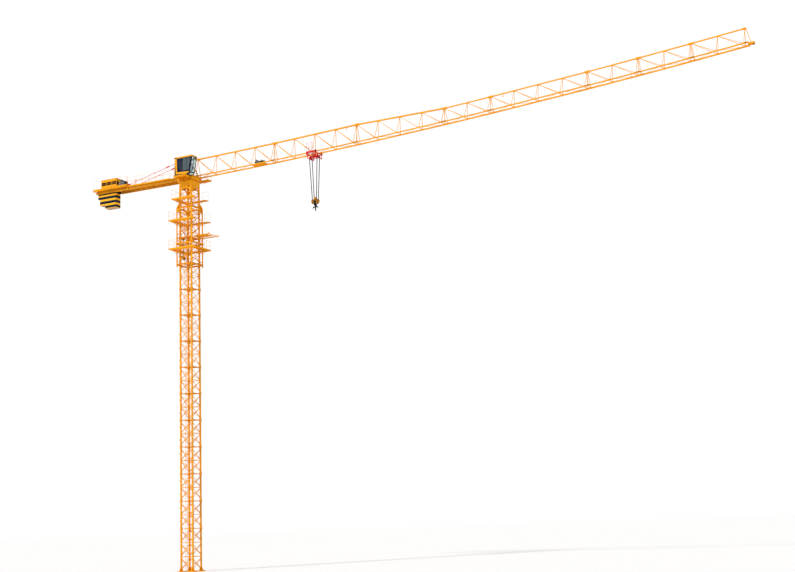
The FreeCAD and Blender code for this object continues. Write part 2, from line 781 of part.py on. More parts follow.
def tower_head():
    """The frame over the turntable that carries the jib's top chord and the stays."""
    low = number(TABLE_HIGH)
    apex = number(f"{TOP} + head_rise")
    x = number("head_apex_x")
    y = number("head_half_y")
    half = number("turntable_half_x") - 8
    shapes = []
    for side in (-1, 1):
        shapes.append(bar((-half, side * y, low + 4), (x - 6, side * y, apex), 10, 10))
        shapes.append(bar((half, side * y, low + 4), (x + 6, side * y, apex), 10, 10))
        shapes.append(bar((-half * 0.62, side * y, low + 95), (half * 0.54, side * y, low + 95), 6, 8))
    shapes.append(solid_block((x - 15, x + 15), (-y - 8, y + 8), (apex - 10, apex + 12)))
    for side in (-1, 1):
        y_side = sorted((side * (y - 4), side * (y + 4)))
        shapes.append(solid_block((-half - 6, -half + 8), y_side, (low + 0.2, low + 10)))
        shapes.append(solid_block((half - 8, half + 6), y_side, (low + 0.2, low + 10)))
    tilt = (number("root_reach") - number("track_low_x")) / number("track_radius")
    root_top = (number("root_reach") - jib_depth(0) * tilt - 0.8, 0, jib_top(0))
    shapes.append(bar((x, 0, root_top[2]), root_top, 12, 12))
    return node("tower_head", frame_of(shapes, "Head"))


def track_height(x):
    """Height of the bottom chords' centre line over the camber's arc."""
    radius = number("track_radius")
    run = x - number("track_low_x")
    return number(TOP) + number("track_low_rise") + radius - math.sqrt(radius * radius - run * run)


def jib_depth(bay):
    """Truss depth at a top node: deep inner sections, one tapering, shallow outer ones."""
    deep = number("jib_deep")
    shallow = number("jib_shallow")
    share = min(max((bay - 8) / 4, 0), 1)
    return deep + (shallow - deep) * share


def jib_top(bay):
    return track_height(number("root_reach") + bay * number("bay_length")) + jib_depth(bay)


JIB_SECTIONS = [4, 4, 4, 2, 4, 2, 2, 2]


def jib_section(index, first, bays):
    """One triangular truss section, built level and then set on the cambered track."""
    bay = number("bay_length")
    start_x = number("root_reach") + first * bay
    end_x = start_x + bays * bay
    start_z = track_height(start_x)
    end_z = track_height(end_x)
    length = math.hypot(end_x - start_x, end_z - start_z) - number("joint_gap")
    step = length / bays
    half = number("jib_spacing") / 2
    chord = number("jib_chord")
    top_size = number("jib_top_inner") if first < 12 else number("jib_top_outer")
    brace = number("jib_brace") if first < 12 else number("jib_brace") - 1
    share = number("strut_share")

    def depth(x):
        return jib_depth(first + x / step)

    lean = length / (2 * number("track_radius"))
    shapes = []
    tops = [(x * step, 0, depth(x * step)) for x in range(bays + 1)]
    tops[0] = ((tops[0][2] + top_size) * lean, 0, tops[0][2])
    tops[-1] = (length - (tops[-1][2] + top_size) * lean, 0, tops[-1][2])
    shapes.append(bar(tops[0], tops[-1], top_size, top_size))
    ledge_low = -chord / 2
    for side in (-1, 1):
        y = side * half
        shapes.append(solid_block((0, length), sorted((y - side * chord / 2, y + side * chord / 2)),
                                  (-chord / 2, chord / 2)))
        outer = y + side * chord / 2
        shapes.append(solid_block((0, length), sorted((outer - side, outer + side * number("ledge_width"))),
                                  (ledge_low, ledge_low + number("ledge_thick"))))
        inset = brace / 2 + 1
        shapes.append(bar((inset, y, 0), (tops[0][0] + inset, 0, tops[0][2]), brace, brace))
        for j in range(bays):
            foot = ((j + share) * step, y, 0)
            shapes.append(bar((tops[j][0] + inset, 0, tops[j][2]), foot, brace, brace))
            end = (min(tops[j + 1][0], tops[-1][0] - inset), 0, tops[j + 1][2])
            shapes.append(bar(foot, end, brace, brace))
        inner_face = y - side * (chord / 2 + 1.4)
        outer_face = y + side * chord / 2
        for x in (0.2, length - 16.2):
            shapes.append(solid_block((x, x + 16), sorted((inner_face, outer_face)), (-1, chord / 2 + 2.5)))
    for x in (tops[0][0] + 0.2, tops[-1][0] - 16.2):
        z = depth(x + 8)
        shapes.append(solid_block((x, x + 16), (-top_size / 2 - 2, top_size / 2 + 2), (z - 4, z + top_size / 2 + 3)))
    lateral = [0.02] + [j + share for j in range(bays)]
    for j, place_x in enumerate(lateral):
        x = place_x * step + (4 if j == 0 else 0)
        shapes.append(bar((x, -half, 0), (x, half, 0), 5, 5))
    for j, (x0, x1) in enumerate(zip(lateral[:-1], lateral[1:])):
        side = -1 if j % 2 else 1
        shapes.append(bar((x0 * step + 4, side * half, 0), (x1 * step, -side * half, 0), 4.4, 4.4))
    item = frame_of(shapes, "JibSection")
    slope = math.degrees(math.atan2(end_z - start_z, end_x - start_x))
    item.Placement = FreeCAD.Placement(
        FreeCAD.Vector(start_x, 0, start_z), FreeCAD.Rotation(FreeCAD.Vector(0, 1, 0), -slope)
    )
    return node(f"jib_section_{index}", item)


def jib():
    first = 0
    for index, bays in enumerate(JIB_SECTIONS, start=1):
        jib_section(index, first, bays)
        first += bays
    return first


def on_track(item, x):
    """Set an object that was built about the track point at x."""
    run = x - number("track_low_x")
    slope = math.degrees(math.asin(run / number("track_radius")))
    item.Placement = FreeCAD.Placement(
        FreeCAD.Vector(x, 0, track_height(x)), FreeCAD.Rotation(FreeCAD.Vector(0, 1, 0), -slope)
    )
    return item


def tip_frame():
    """The end frame that holds the tip pulley, past the last jib section."""
    bays = sum(JIB_SECTIONS)
    tip_x = number("root_reach") + bays * number("bay_length")
    half = number("jib_spacing") / 2
    depth = jib_depth(bays)
    shapes = [
        solid_block((0, 9), (-half - 8, half + 8), (-10, 8)),
        solid_block((0, 8), (-9, 9), (depth - 10, depth + 9)),
        bar((6, 0, depth - 4), (30, 0, 4), 6, 6),
        solid_block((3, 62), (-14, -9), (-14, 10)),
        solid_block((3, 62), (9, 14), (-14, 10)),
        solid_block((3, 36), (-14, 14), (0, 8)),
    ]
    shapes.append(Part.makeCylinder(15, 9, FreeCAD.Vector(48, -4.5, -6), FreeCAD.Vector(0, 1, 0)))
    shapes.append(Part.makeCylinder(3.5, 30, FreeCAD.Vector(48, -15, -6), FreeCAD.Vector(0, 1, 0)))
    return node("jib_tip_frame", on_track(frame_of(shapes, "Tip"), tip_x + 0.4))


def trolley_winch():
    """The winch that hauls the trolley, on a small floor inside the first section."""
    shapes = [
        solid_block((-80, 90), (-40, 40), (4, 7)),
        solid_block((-42, -34), (-26, 26), (5, 40)),
        solid_block((34, 42), (-26, 26), (5, 40)),
        Part.makeCylinder(16, 78, FreeCAD.Vector(-39, 0, 30), FreeCAD.Vector(1, 0, 0)),
        Part.makeCylinder(12, 34, FreeCAD.Vector(41, 0, 30), FreeCAD.Vector(1, 0, 0)),
    ]
    return node("trolley_winch", on_track(frame_of(shapes, "HaulWinch"), 960))


# ------------------------------------------------------------ counter-jib

BEAM_LOW = f"({TOP} + beam_rise)"
BEAM_HIGH = f"({BEAM_LOW} + beam_height)"


def counter_beams():
    """Two plate girders joined by cross members behind the turntable."""
    body = new_body("Girders")
    outlines = []
    for side in (-1, 1):
        y = f"({side} * counter_half_y)"
        flange = "beam_flange / 2"
        web = "beam_web / 2"
        thick = "beam_flange_thick"
        outlines.append([
            (f"{y} - {flange}", BEAM_LOW), (f"{y} + {flange}", BEAM_LOW),
            (f"{y} + {flange}", f"{BEAM_LOW} + {thick}"), (f"{y} + {web}", f"{BEAM_LOW} + {thick}"),
            (f"{y} + {web}", f"{BEAM_HIGH} - {thick}"), (f"{y} + {flange}", f"{BEAM_HIGH} - {thick}"),
            (f"{y} + {flange}", BEAM_HIGH), (f"{y} - {flange}", BEAM_HIGH),
            (f"{y} - {flange}", f"{BEAM_HIGH} - {thick}"), (f"{y} - {web}", f"{BEAM_HIGH} - {thick}"),
            (f"{y} - {web}", f"{BEAM_LOW} + {thick}"), (f"{y} - {flange}", f"{BEAM_LOW} + {thick}"),
        ])
    length = "(counter_reach - turntable_half_x - 0.3)"
    pad_in(body, sketch_in(body, "YZ_Plane", outlines), length)
    place(body, f"-(turntable_half_x + 0.3) - {length} / 2")
    notch = block(
        ("-counter_reach - 1", "-slab_front + 12"), ("-counter_half_y - 20", "counter_half_y + 20"),
        (f"{BEAM_LOW} - 1", f"{BEAM_LOW} + rear_beam_cut"), "Notch",
    )
    members = [cut(body, notch, "Stepped")]
    for side in (-1, 1):
        y = (f"{side} * counter_half_y - beam_flange / 2", f"{side} * counter_half_y + beam_flange / 2")
        z = (f"{BEAM_LOW} + rear_beam_cut", f"{BEAM_LOW} + rear_beam_cut + beam_flange_thick")
        members.append(block(("-counter_reach", "-slab_front + 14"), y, z, "RearFlange"))
    for x in ("-turntable_half_x - 12", "-330", "-560", "-rear_deck_front - 6", "-slab_front + 40", "-counter_reach + 6"):
        z = (f"{BEAM_HIGH} - 20", f"{BEAM_HIGH} - 8")
        members.append(block((f"{x} - 5", f"{x} + 5"), ("-counter_half_y", "counter_half_y"), z, "Cross"))
    return node("counter_jib_beams", fused(members, "CounterBeams"))


DECK_LOW = f"({BEAM_HIGH} + 0.3)"
DECK_HIGH = f"({DECK_LOW} + counter_deck)"
WALK_HIGH = f"({DECK_LOW} + walk_deck)"


def counter_decks():
    rear = block(("-rear_deck_back", "-rear_deck_front"), ("-rear_deck_half", "rear_deck_half"), (DECK_LOW, DECK_HIGH))
    walk = block(("-rear_deck_front - 1", "-turntable_half_x - 8"), ("-walk_half", "walk_half"), (DECK_LOW, WALK_HIGH))
    node("counter_jib_deck", fused([rear, walk], "CounterDeck"))
    for side, word in ((-1, "right"), (1, "left")):
        inset = number("rail_size") / 2
        walk_y = side * (number("walk_half") - inset)
        rear_y = side * (number("rear_deck_half") - inset)
        front = -number("rear_deck_front")
        back = -number("rear_deck_back") + inset
        path = [(-226, walk_y), (front + 1.5, walk_y)]
        shapes = railing(path, number(WALK_HIGH), 6)
        shapes += railing([(front - 1.5, walk_y), (front - 1.5, rear_y), (back, rear_y)], number(DECK_HIGH), 4)
        shapes.append(bar((front + 1.5, walk_y, number(DECK_HIGH) + 55), (front - 1.5, walk_y, number(DECK_HIGH) + 55), 3, 3))
        node(f"counter_jib_railing_{word}", frame_of(shapes, "CounterRail"))


def stays():
    """Two tension rods from the tower head to the counter-jib, with a thick fitting each."""
    solids = []
    high = FreeCAD.Vector(number("head_apex_x") - 16.2, 0, number(f"{TOP} + head_rise"))
    low = FreeCAD.Vector(-number("rear_deck_front") + 2, 0, number(DECK_HIGH) + 12)
    run = low - high
    length = run.Length
    run.normalize()
    for side in (-1, 1):
        y = side * number("head_half_y")
        start = FreeCAD.Vector(high.x, y, high.z)
        rod = Part.makeCylinder(2.4, length, start, run)
        fitting = Part.makeCylinder(5, 56, start + run * 215, run)
        end = start + run * length
        lug = solid_block((end.x - 9, end.x + 9), (y - 4, y + 4), (number(DECK_HIGH) + 0.2, end.z + 7))
        solids.append(rod.multiFuse([fitting, lug]))
    item = doc.addObject("Part::Feature", "Stays")
    item.Shape = Part.makeCompound(solids)
    return node("counter_jib_stays", item)


def machinery():
    high = number(DECK_HIGH)
    house = [
        solid_block((-1258, -1028), (-50, 50), (high + 6, high + 124)),
        solid_block((-1250, -1230), (-48, 48), (high + 0.2, high + 7)),
        solid_block((-1056, -1036), (-48, 48), (high + 0.2, high + 7)),
    ]
    node("machinery_house", frame_of(house, "House"))
    winch = [
        solid_block((-1018, -886), (-46, 46), (high + 0.2, high + 8)),
        solid_block((-1010, -900), (-46, -38), (high + 7, high + 72)),
        solid_block((-1010, -900), (38, 46), (high + 7, high + 72)),
        Part.makeCylinder(38, 78, FreeCAD.Vector(-962, -39, high + 58), FreeCAD.Vector(0, 1, 0)),
        solid_block((-920, -892), (-34, 34), (high + 7, high + 48)),
    ]
    node("hoist_winch", frame_of(winch, "HoistWinch"))


SLAB_HANGS = [225, 225, 225, 225, 180, 180, 100]


def counterweight():
    """Slabs hung side by side between the girders on their inner lips."""
    slabs = []
    pitch = number("slab_thick + slab_gap")
    lip = number(f"{BEAM_LOW} + rear_beam_cut + beam_flange_thick")
    top = number(BEAM_HIGH) - 3
    half = number("slab_half")
    ear = number("counter_half_y - beam_web / 2") - 0.6
    for k, hang in enumerate(SLAB_HANGS):
        x1 = -number("slab_front") - k * pitch
        x0 = x1 - number("slab_thick") * (1 if k < 6 else 0.66)
        bottom = number(TOP) + 440 - hang
        body = solid_block((x0, x1), (-half, half), (bottom, top))
        ears = solid_block((x0 + 6, x1 - 6), (-ear, ear), (lip + 0.3, lip + 11))
        slabs.append(body.fuse(ears))
    item = doc.addObject("Part::Feature", "Slabs")
    item.Shape = Part.makeCompound(slabs)
    return node("counterweight_slabs", item)


# ------------------------------------------------------------------- cab

CAB_LOW = f"({TOP} + cab_rise)"
CAB_HIGH = f"({CAB_LOW} + cab_height)"


def cab_outline(inset):
    """The cab's side outline, moved in by a wall thickness."""
    return [
        (f"cab_back + {inset}", f"{CAB_LOW} + {inset}"),
        (f"cab_front - 78 - 0.3 * {inset}", f"{CAB_LOW} + {inset}"),
        (f"cab_front - 34 - {inset}", f"{CAB_LOW} + 20 + 0.7 * {inset}"),
        (f"cab_front - {inset}", f"{CAB_HIGH} - {inset}"),
        (f"cab_back + {inset}", f"{CAB_HIGH} - {inset}"),
    ]


def cab():
    middle = "((cab_near + cab_far) / 2)"
    width = "(cab_far - cab_near)"
    outer = plate("CabOuter", "XZ_Plane", [cab_outline("0")], width, ("0", middle, "0"))
    inner = plate("CabInner", "XZ_Plane", [cab_outline("cab_wall")], f"{width} - 2 * cab_wall", ("0", middle, "0"))
    side_window = [
        ("cab_back + 112", f"{CAB_LOW} + 44"), ("cab_front - 46", f"{CAB_LOW} + 44"),
        ("cab_front - 21", f"{CAB_HIGH} - 20"), ("cab_back + 112", f"{CAB_HIGH} - 20"),
    ]
    sides = plate("SideWindows", "XZ_Plane", [side_window], f"{width} + 20", ("0", middle, "0"))
    front = block(
        ("cab_front - 60", "cab_front + 10"), (f"cab_near + 9", "cab_far - 9"),
        (f"{CAB_LOW} + 26", f"{CAB_HIGH} - 12"), "FrontWindow",
    )
    door = block(("cab_back - 5", "cab_back + 10"), (f"{middle} - 30", f"{middle} + 30"),
                 (f"{CAB_LOW} + cab_wall", f"{CAB_HIGH} - 26"), "Doorway")
    hollow = cut(outer, inner, "CabHollow")
    node("cab_shell", cut(cut(cut(hollow, sides), front), door, "CabShell"))
    panes = []
    for y in ("cab_near + cab_wall / 2", "cab_far - cab_wall / 2"):
        pane = [
            ("cab_back + 112.2", f"{CAB_LOW} + 44.2"), ("cab_front - 46.2", f"{CAB_LOW} + 44.2"),
            ("cab_front - 21.3", f"{CAB_HIGH} - 20.2"), ("cab_back + 112.2", f"{CAB_HIGH} - 20.2"),
        ]
        panes.append(plate("SidePane", "XZ_Plane", [pane], "pane_thick", ("0", y, "0")))
    slope = f"(34 / (cab_height - 20))"
    low = f"({CAB_LOW} + 26.2)"
    high = f"({CAB_HIGH} - 12.2)"
    low_x = f"(cab_front - 34 + {slope} * 6.2 - 3.4)"
    high_x = f"(cab_front - {slope} * 12.2 - 3.4)"
    screen = [
        (f"{low_x} - pane_thick / 2", low), (f"{low_x} + pane_thick / 2", low),
        (f"{high_x} + pane_thick / 2", high), (f"{high_x} - pane_thick / 2", high),
    ]
    panes.append(plate("FrontPane", "XZ_Plane", [screen], f"{width} - 18.4", ("0", middle, "0")))
    node("cab_glass", gathered(panes, "Panes"))
    edge = f"({middle} - 29.7)"
    leaf = block(("cab_back", "cab_back + 3"), (edge, f"{middle} + 29.7"),
                 (f"{CAB_LOW} + cab_wall + 0.3", f"{CAB_HIGH} - 26.3"), "DoorLeaf")
    door = [leaf]
    for z in (f"{CAB_LOW} + 40", f"{CAB_HIGH} - 70"):
        door.append(cylinder("Z", ("cab_back - 2", edge, z), "1.7", "16", "Knuckle"))
        door.append(block(("cab_back - 2", "cab_back + 2"), (edge, f"{edge} + 5"), (z, f"{z} + 16"), "Hinge"))
    node("cab_door", fused(door, "Door"))


def cab_platform():
    """The bracket floor under the cab and the small landing on the other side."""
    floor = block(("-85", "88"), ("cab_near + 2", "-turntable_half_y - 0.3"), (f"{CAB_LOW} - 9", f"{CAB_LOW} - 0.3"))
    ribs = [
        block((x, f"{x} + 8"), ("cab_near + 30", "-turntable_half_y - 0.3"), (f"{CAB_LOW} - 20", f"{CAB_LOW} - 8"))
        for x in ("-70", "62")
    ]
    node("cab_bracket", fused([floor] + ribs, "CabBracket"))
    low = number(TABLE_LOW) + 1
    x0 = number("turntable_half_x") + 0.4
    y0 = number("turntable_half_y") + 0.4
    shapes = [solid_block((x0, 205), (64, 158), (low, low + 5)), solid_block((40, 205), (y0, 158), (low, low + 5))]
    shapes += railing([(106.5, 156.5), (203.5, 156.5), (203.5, 65.5)], low + 5, 1)
    node("side_landing", frame_of(shapes, "Landing"))


# -------------------------------------------------- trolley, ropes and hook

def trolley():
    """The trolley under the jib, built about the track point."""
    x_half = number("trolley_half")
    chord = number("jib_chord") / 2
    half = number("jib_spacing") / 2
    ledge_out = half + chord + number("ledge_width")
    plate_in = ledge_out + number("side_gap")
    plate_out = plate_in + number("plate_thick")
    wheel_in = half + chord + number("wheel_gap")
    wheel_z = -chord + number("ledge_thick") + number("wheel_radius") + number("track_clear")
    low = -chord - 16
    foot = low - number("sheave_drop + sheave_radius") - 6
    leg = number("trolley_leg")
    shapes = []
    for side in (-1, 1):
        y = sorted((side * plate_in, side * plate_out))
        shapes.append(solid_block((-x_half, x_half), y, (low, wheel_z + 5)))
        shapes.append(solid_block((-leg - 4, leg + 4), sorted((side * 20, side * 24)), (foot + 6, foot + 30)))
        for x in (-leg, leg):
            shapes.append(solid_block((x - 4, x + 4), y, (foot, low + 1)))
            shapes.append(solid_block((x - 4, x + 4), sorted((side * 20, side * 24)), (foot, foot + 7)))
    for x in (-leg - 4, leg - 4):
        shapes.append(solid_block((x, x + 8), (-plate_out, plate_out), (foot, foot + 5)))
    for x in (-x_half, x_half - 10, -6):
        shapes.append(solid_block((x, x + 10), (-plate_out, plate_out), (low - 2, low + 6)))
    sheave = number("sheave_radius")
    for x in (-number("sheave_x"), number("sheave_x")):
        z = low - number("sheave_drop")
        shapes.append(Part.makeCylinder(sheave, 8, FreeCAD.Vector(x, -4, z), FreeCAD.Vector(0, 1, 0)))
        shapes.append(Part.makeCylinder(3, 46, FreeCAD.Vector(x, -23, z), FreeCAD.Vector(0, 1, 0)))
    frame = on_track(frame_of(shapes, "TrolleyFrame"), number("trolley_x"))
    node("trolley_frame", frame)
    wheels = []
    for x in (-x_half + 18, x_half - 18):
        for side in (-1, 1):
            direction = FreeCAD.Vector(0, side, 0)
            wheel = Part.makeCylinder(
                number("wheel_radius"), number("wheel_width"), FreeCAD.Vector(x, side * wheel_in, wheel_z), direction
            )
            stub = Part.makeCylinder(
                2.5, plate_in - wheel_in - 0.2, FreeCAD.Vector(x, side * wheel_in, wheel_z), direction
            )
            wheels.append(wheel.fuse(stub))
    item = doc.addObject("Part::Feature", "Wheels")
    item.Shape = Part.makeCompound(wheels)
    node("trolley_wheels", on_track(item, number("trolley_x")))
    rail_y = (-plate_out - 42, -plate_out - 0.2)
    basket_x = (-32, 34)
    basket = [solid_block(basket_x, rail_y, (low - 2, low + 1))]
    inset = number("rail_size") / 2
    corners = [
        (basket_x[0] + inset, rail_y[1] - inset), (basket_x[0] + inset, rail_y[0] + inset),
        (basket_x[1] - inset, rail_y[0] + inset), (basket_x[1] - inset, rail_y[1] - inset),
    ]
    basket += railing(corners, low + 1, 0)
    node("trolley_basket", on_track(frame_of(basket, "Basket"), number("trolley_x")))
    return low - number("sheave_drop")


def hook_gear(sheave_z):
    """Four falls of rope, the block and the double hook under the trolley."""
    x = number("trolley_x")
    track = track_height(x)
    top = track + sheave_z
    tilt = (x - number("track_low_x")) / number("track_radius")
    block_z = track - number("hook_drop")
    falls = []
    reach = number("sheave_radius + rope_radius + rope_gap")
    block_reach = number("block_sheave + rope_radius + rope_gap")
    for side in (-1, 1):
        for hand in (-1, 1):
            middle = x + side * number("sheave_x") - sheave_z * tilt
            start = FreeCAD.Vector(middle + hand * reach, 0, top + side * number("sheave_x") * tilt)
            end = FreeCAD.Vector(x + side * number("block_x") + hand * block_reach, 0, block_z)
            run = end - start
            falls.append(Part.makeCylinder(number("rope_radius"), run.Length, start, run))
    ropes = doc.addObject("Part::Feature", "Falls")
    ropes.Shape = Part.makeCompound(falls)
    node("hoist_ropes", ropes)

    right = [(14, -53), (16, -40), (34, -34), (48, -14), (48, 8), (34, 20), (18, 24), (16, 44)]
    cheek = right + [(-a, b) for a, b in reversed(right)]
    outline = Part.makePolygon([FreeCAD.Vector(a, 0, b) for a, b in cheek + cheek[:1]])
    shapes = []
    for low in (-12, 9):
        wall = Part.Face(outline).extrude(FreeCAD.Vector(0, 3, 0))
        wall.translate(FreeCAD.Vector(0, low, 0))
        shapes.append(wall)
    for side in (-1, 1):
        centre = FreeCAD.Vector(side * number("block_x"), -4, 0)
        shapes.append(Part.makeCylinder(number("block_sheave"), 8, centre, FreeCAD.Vector(0, 1, 0)))
        pin = FreeCAD.Vector(side * number("block_x"), -13, 0)
        shapes.append(Part.makeCylinder(3, 26, pin, FreeCAD.Vector(0, 1, 0)))
    shapes.append(solid_block((-9, 9), (-10, 10), (30, 42)))
    shapes.append(solid_block((-13, 13), (-10, 10), (-53, -38)))
    body = frame_of(shapes, "HookBlock")
    body.Placement = FreeCAD.Placement(FreeCAD.Vector(x, 0, block_z), FreeCAD.Rotation())
    node("hook_block", body)

    ring = 17
    thick = 5
    centre_z = -84
    horns = [Part.makeCylinder(6, 40, FreeCAD.Vector(0, 0, -93.3), FreeCAD.Vector(0, 0, 1))]
    horns.append(Part.makeSphere(8, FreeCAD.Vector(0, 0, -104)))
    for side in (-1, 1):
        arc = Part.makeTorus(ring, thick, FreeCAD.Vector(0, 0, 0), FreeCAD.Vector(0, 0, 1), -180, 180, 195)
        turn = FreeCAD.Rotation(FreeCAD.Vector(1, 0, 0), -90)
        arc.Placement = FreeCAD.Placement(FreeCAD.Vector(0, 0, 0), turn)
        if side < 0:
            arc = arc.mirror(FreeCAD.Vector(0, 0, 0), FreeCAD.Vector(1, 0, 0))
        arc.translate(FreeCAD.Vector(side * (ring - 1), 0, centre_z))
        horns.append(arc)
    hook = frame_of(horns, "Hook")
    hook.Placement = FreeCAD.Placement(FreeCAD.Vector(x, 0, block_z), FreeCAD.Rotation())
    node("hook", hook)


def check():
    """Stop if any object failed or any sub-part is empty or not valid."""
    for item in doc.Objects:
        if "Invalid" in item.State or "Error" in item.State:
            raise RuntimeError(f"{item.Label} did not build: {item.State}")
    for label, item in NODES:
        shape = item.Shape
        if shape.isNull() or not shape.Solids or not shape.isValid():
            raise RuntimeError(f"{label} is empty or not valid")


mast()
climbing_frame()
transition()
slewing_base()
turntable()
tower_head()
jib()
tip_frame()
trolley_winch()
counter_beams()
counter_decks()
stays()
machinery()
counterweight()
cab()
cab_platform()
hook_gear(trolley())
doc.recompute()
check()
os.makedirs("parts", exist_ok=True)
for label, item in NODES:
    item.Shape.exportStep(f"parts/{label}.step")
    print(label, len(item.Shape.Solids), round(item.Shape.Volume))
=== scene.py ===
"""Flat-top tower crane at 1:10: finishes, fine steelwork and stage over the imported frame."""
import json
import math

import bpy
from mathutils import Matrix, Vector


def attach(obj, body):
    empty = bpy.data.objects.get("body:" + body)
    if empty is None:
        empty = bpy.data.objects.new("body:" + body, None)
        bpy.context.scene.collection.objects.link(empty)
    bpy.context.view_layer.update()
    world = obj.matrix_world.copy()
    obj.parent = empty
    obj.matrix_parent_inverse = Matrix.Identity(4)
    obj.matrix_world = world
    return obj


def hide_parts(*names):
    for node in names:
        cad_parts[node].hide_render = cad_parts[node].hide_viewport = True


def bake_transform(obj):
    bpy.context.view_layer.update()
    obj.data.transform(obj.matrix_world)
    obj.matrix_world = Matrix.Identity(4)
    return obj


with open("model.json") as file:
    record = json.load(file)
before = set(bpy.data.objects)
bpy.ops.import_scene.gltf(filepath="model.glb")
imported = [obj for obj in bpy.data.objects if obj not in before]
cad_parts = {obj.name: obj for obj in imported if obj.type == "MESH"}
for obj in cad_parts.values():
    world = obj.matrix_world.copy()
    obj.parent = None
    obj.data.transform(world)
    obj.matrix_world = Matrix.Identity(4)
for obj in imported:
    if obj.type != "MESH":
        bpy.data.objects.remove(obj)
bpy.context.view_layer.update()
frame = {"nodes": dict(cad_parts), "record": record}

bl_info = {
    "name": "Tower Crane",
    "version": (1, 0, 0),
    "blender": (4, 5, 0),
    "location": "View3D > Sidebar > Tower Crane",
    "description": "Builds the fine pieces, finishes and stage of a flat-top tower crane",
    "category": "Object",
}

MM = 0.001
BODY_OF = {n: b for b, nodes in frame["record"]["behaviour"]["bodies"].items() for n in nodes}

# Levels and half widths in millimetres, as the frame has them.
BASE, SECTION, SECTIONS = 470.0, 300.0, 12
TOP = BASE + SECTION * SECTIONS
CHORD = 77.5
CHORD_HALF, COLLAR_HALF = 8, 11.5
CHORD_FACE, RING_INNER = CHORD - CHORD_HALF, CHORD - COLLAR_HALF
RAIL_HIGH, KNEE_HIGH = 110, 57
POST = 104.5
CAGE_LOW, CAGE_HIGH, WAIST = TOP - 645, TOP + 70, TOP - 374
LOWER_DECK, FEED_DECK, MIDDLE_DECK, UPPER_DECK = TOP - 436, TOP - 297, TOP - 100, TOP + 158
TRANSITION_HIGH = TOP + 240
TRACK_RADIUS, TRACK_LOW_X, TRACK_LOW_Z = 84560.0, -1242.0, TOP + 404
ROOT_X, BAY = 122.2, 264.3
JIB_BAYS = (4, 4, 4, 2, 4, 2, 2, 2)
JIB_HALF, JIB_DEEP, JIB_SHALLOW = 47.5, 212, 160
BEAM_LOW, BEAM_HIGH = TOP + 394, TOP + 427
DECK_LOW, DECK_HIGH, WALK_HIGH = BEAM_HIGH + 0.3, BEAM_HIGH + 20.3, BEAM_HIGH + 6.3
REAR_FRONT, REAR_BACK = -841.0, -1340.0
CAB_LOW, CAB_HIGH = TOP + 415, TOP + 628
CAB_NEAR, CAB_FAR = -200.0, -95.5
CAB_MIDDLE = (CAB_NEAR + CAB_FAR) / 2
TROLLEY_X = 1685.0
SHEAVE_X, SHEAVE_Z, LEG_X, FOOT_Z = 49.0, -50.0, 53.0, -70.2
HOOK_DROP = 550.0


class CraneColours(bpy.types.PropertyGroup):
    """Colours of the crane's finishes."""

    orange: bpy.props.FloatVectorProperty(
        name="Steelwork", description="Paint of the mast, jib and decks",
        subtype="COLOR", default=(0.95, 0.385, 0.001)
    )
    slab: bpy.props.FloatVectorProperty(
        name="Slab bands", description="Light bands of the counterweight",
        subtype="COLOR", default=(1.0, 0.50, 0.012)
    )
    navy: bpy.props.FloatVectorProperty(
        name="Cab", description="Paint of the cab and the slabs' dark bands",
        subtype="COLOR", default=(0.002, 0.008, 0.032)
    )
    red: bpy.props.FloatVectorProperty(
        name="Trolley", description="Paint of the trolley", subtype="COLOR", default=(0.80, 0.006, 0.010)
    )
    stay: bpy.props.FloatVectorProperty(
        name="Stays", description="Faded paint of the stay rods",
        subtype="COLOR", default=(0.74, 0.075, 0.085)
    )
    machine: bpy.props.FloatVectorProperty(
        name="Machinery", description="Paint of winches and motors",
        subtype="COLOR", default=(0.16, 0.165, 0.17)
    )
    black: bpy.props.FloatVectorProperty(
        name="Black steel", description="Hook, sheaves and louvres",
        subtype="COLOR", default=(0.012, 0.012, 0.014)
    )
    glass: bpy.props.FloatVectorProperty(
        name="Cab glass", description="Tint of the panes", subtype="COLOR", default=(0.16, 0.25, 0.27)
    )


class CraneSizes(bpy.types.PropertyGroup):
    """Sizes of the fine steelwork."""

    rail: bpy.props.FloatProperty(
        name="Handrail radius", description="Radius of handrail tube", default=1.2 * MM, unit="LENGTH"
    )
    brace: bpy.props.FloatProperty(
        name="Brace radius", description="Radius of the mast's braces", default=3.4 * MM, unit="LENGTH"
    )
    bolt: bpy.props.FloatProperty(
        name="Bolt head", description="Radius of a bolt head", default=2.0 * MM, unit="LENGTH"
    )
    grating: bpy.props.FloatProperty(
        name="Grating pitch", description="Distance between grating bars",
        default=6.0 * MM, unit="LENGTH"
    )


# ------------------------------------------------------------ stock shapes

STOCK = {}


def clear():
    """Leave nothing selected, in object mode."""
    if bpy.context.mode != "OBJECT":
        bpy.ops.object.mode_set(mode="OBJECT")
    bpy.ops.object.select_all(action="DESELECT")


def keep(name):
    """Keep the active object's mesh as a stock shape and drop the object."""
    piece = bpy.context.object
    bpy.ops.object.transform_apply(location=True, rotation=True, scale=True)
    piece.data.use_fake_user = True
    STOCK[name] = piece.data
    bpy.data.objects.remove(piece)


def make_stock():
    """Unit shapes that run along +X from the origin: a bar, rods and a dome."""
    clear()
    bpy.ops.mesh.primitive_cube_add(size=1, location=(0.5, 0, 0))
    keep("bar")
    for sides in (6, 8, 12, 28):
        bpy.ops.mesh.primitive_cylinder_add(
            vertices=sides, radius=1, depth=1, location=(0.5, 0, 0), rotation=(0, math.pi / 2, 0)
        )
        keep(f"rod{sides}")
    bpy.ops.mesh.primitive_torus_add(
        major_segments=20, minor_segments=6, major_radius=1, minor_radius=0.12, rotation=(0, math.pi / 2, 0)
    )
    keep("coil")
    bpy.ops.mesh.primitive_uv_sphere_add(segments=14, ring_count=8, radius=1)
    keep("ball")


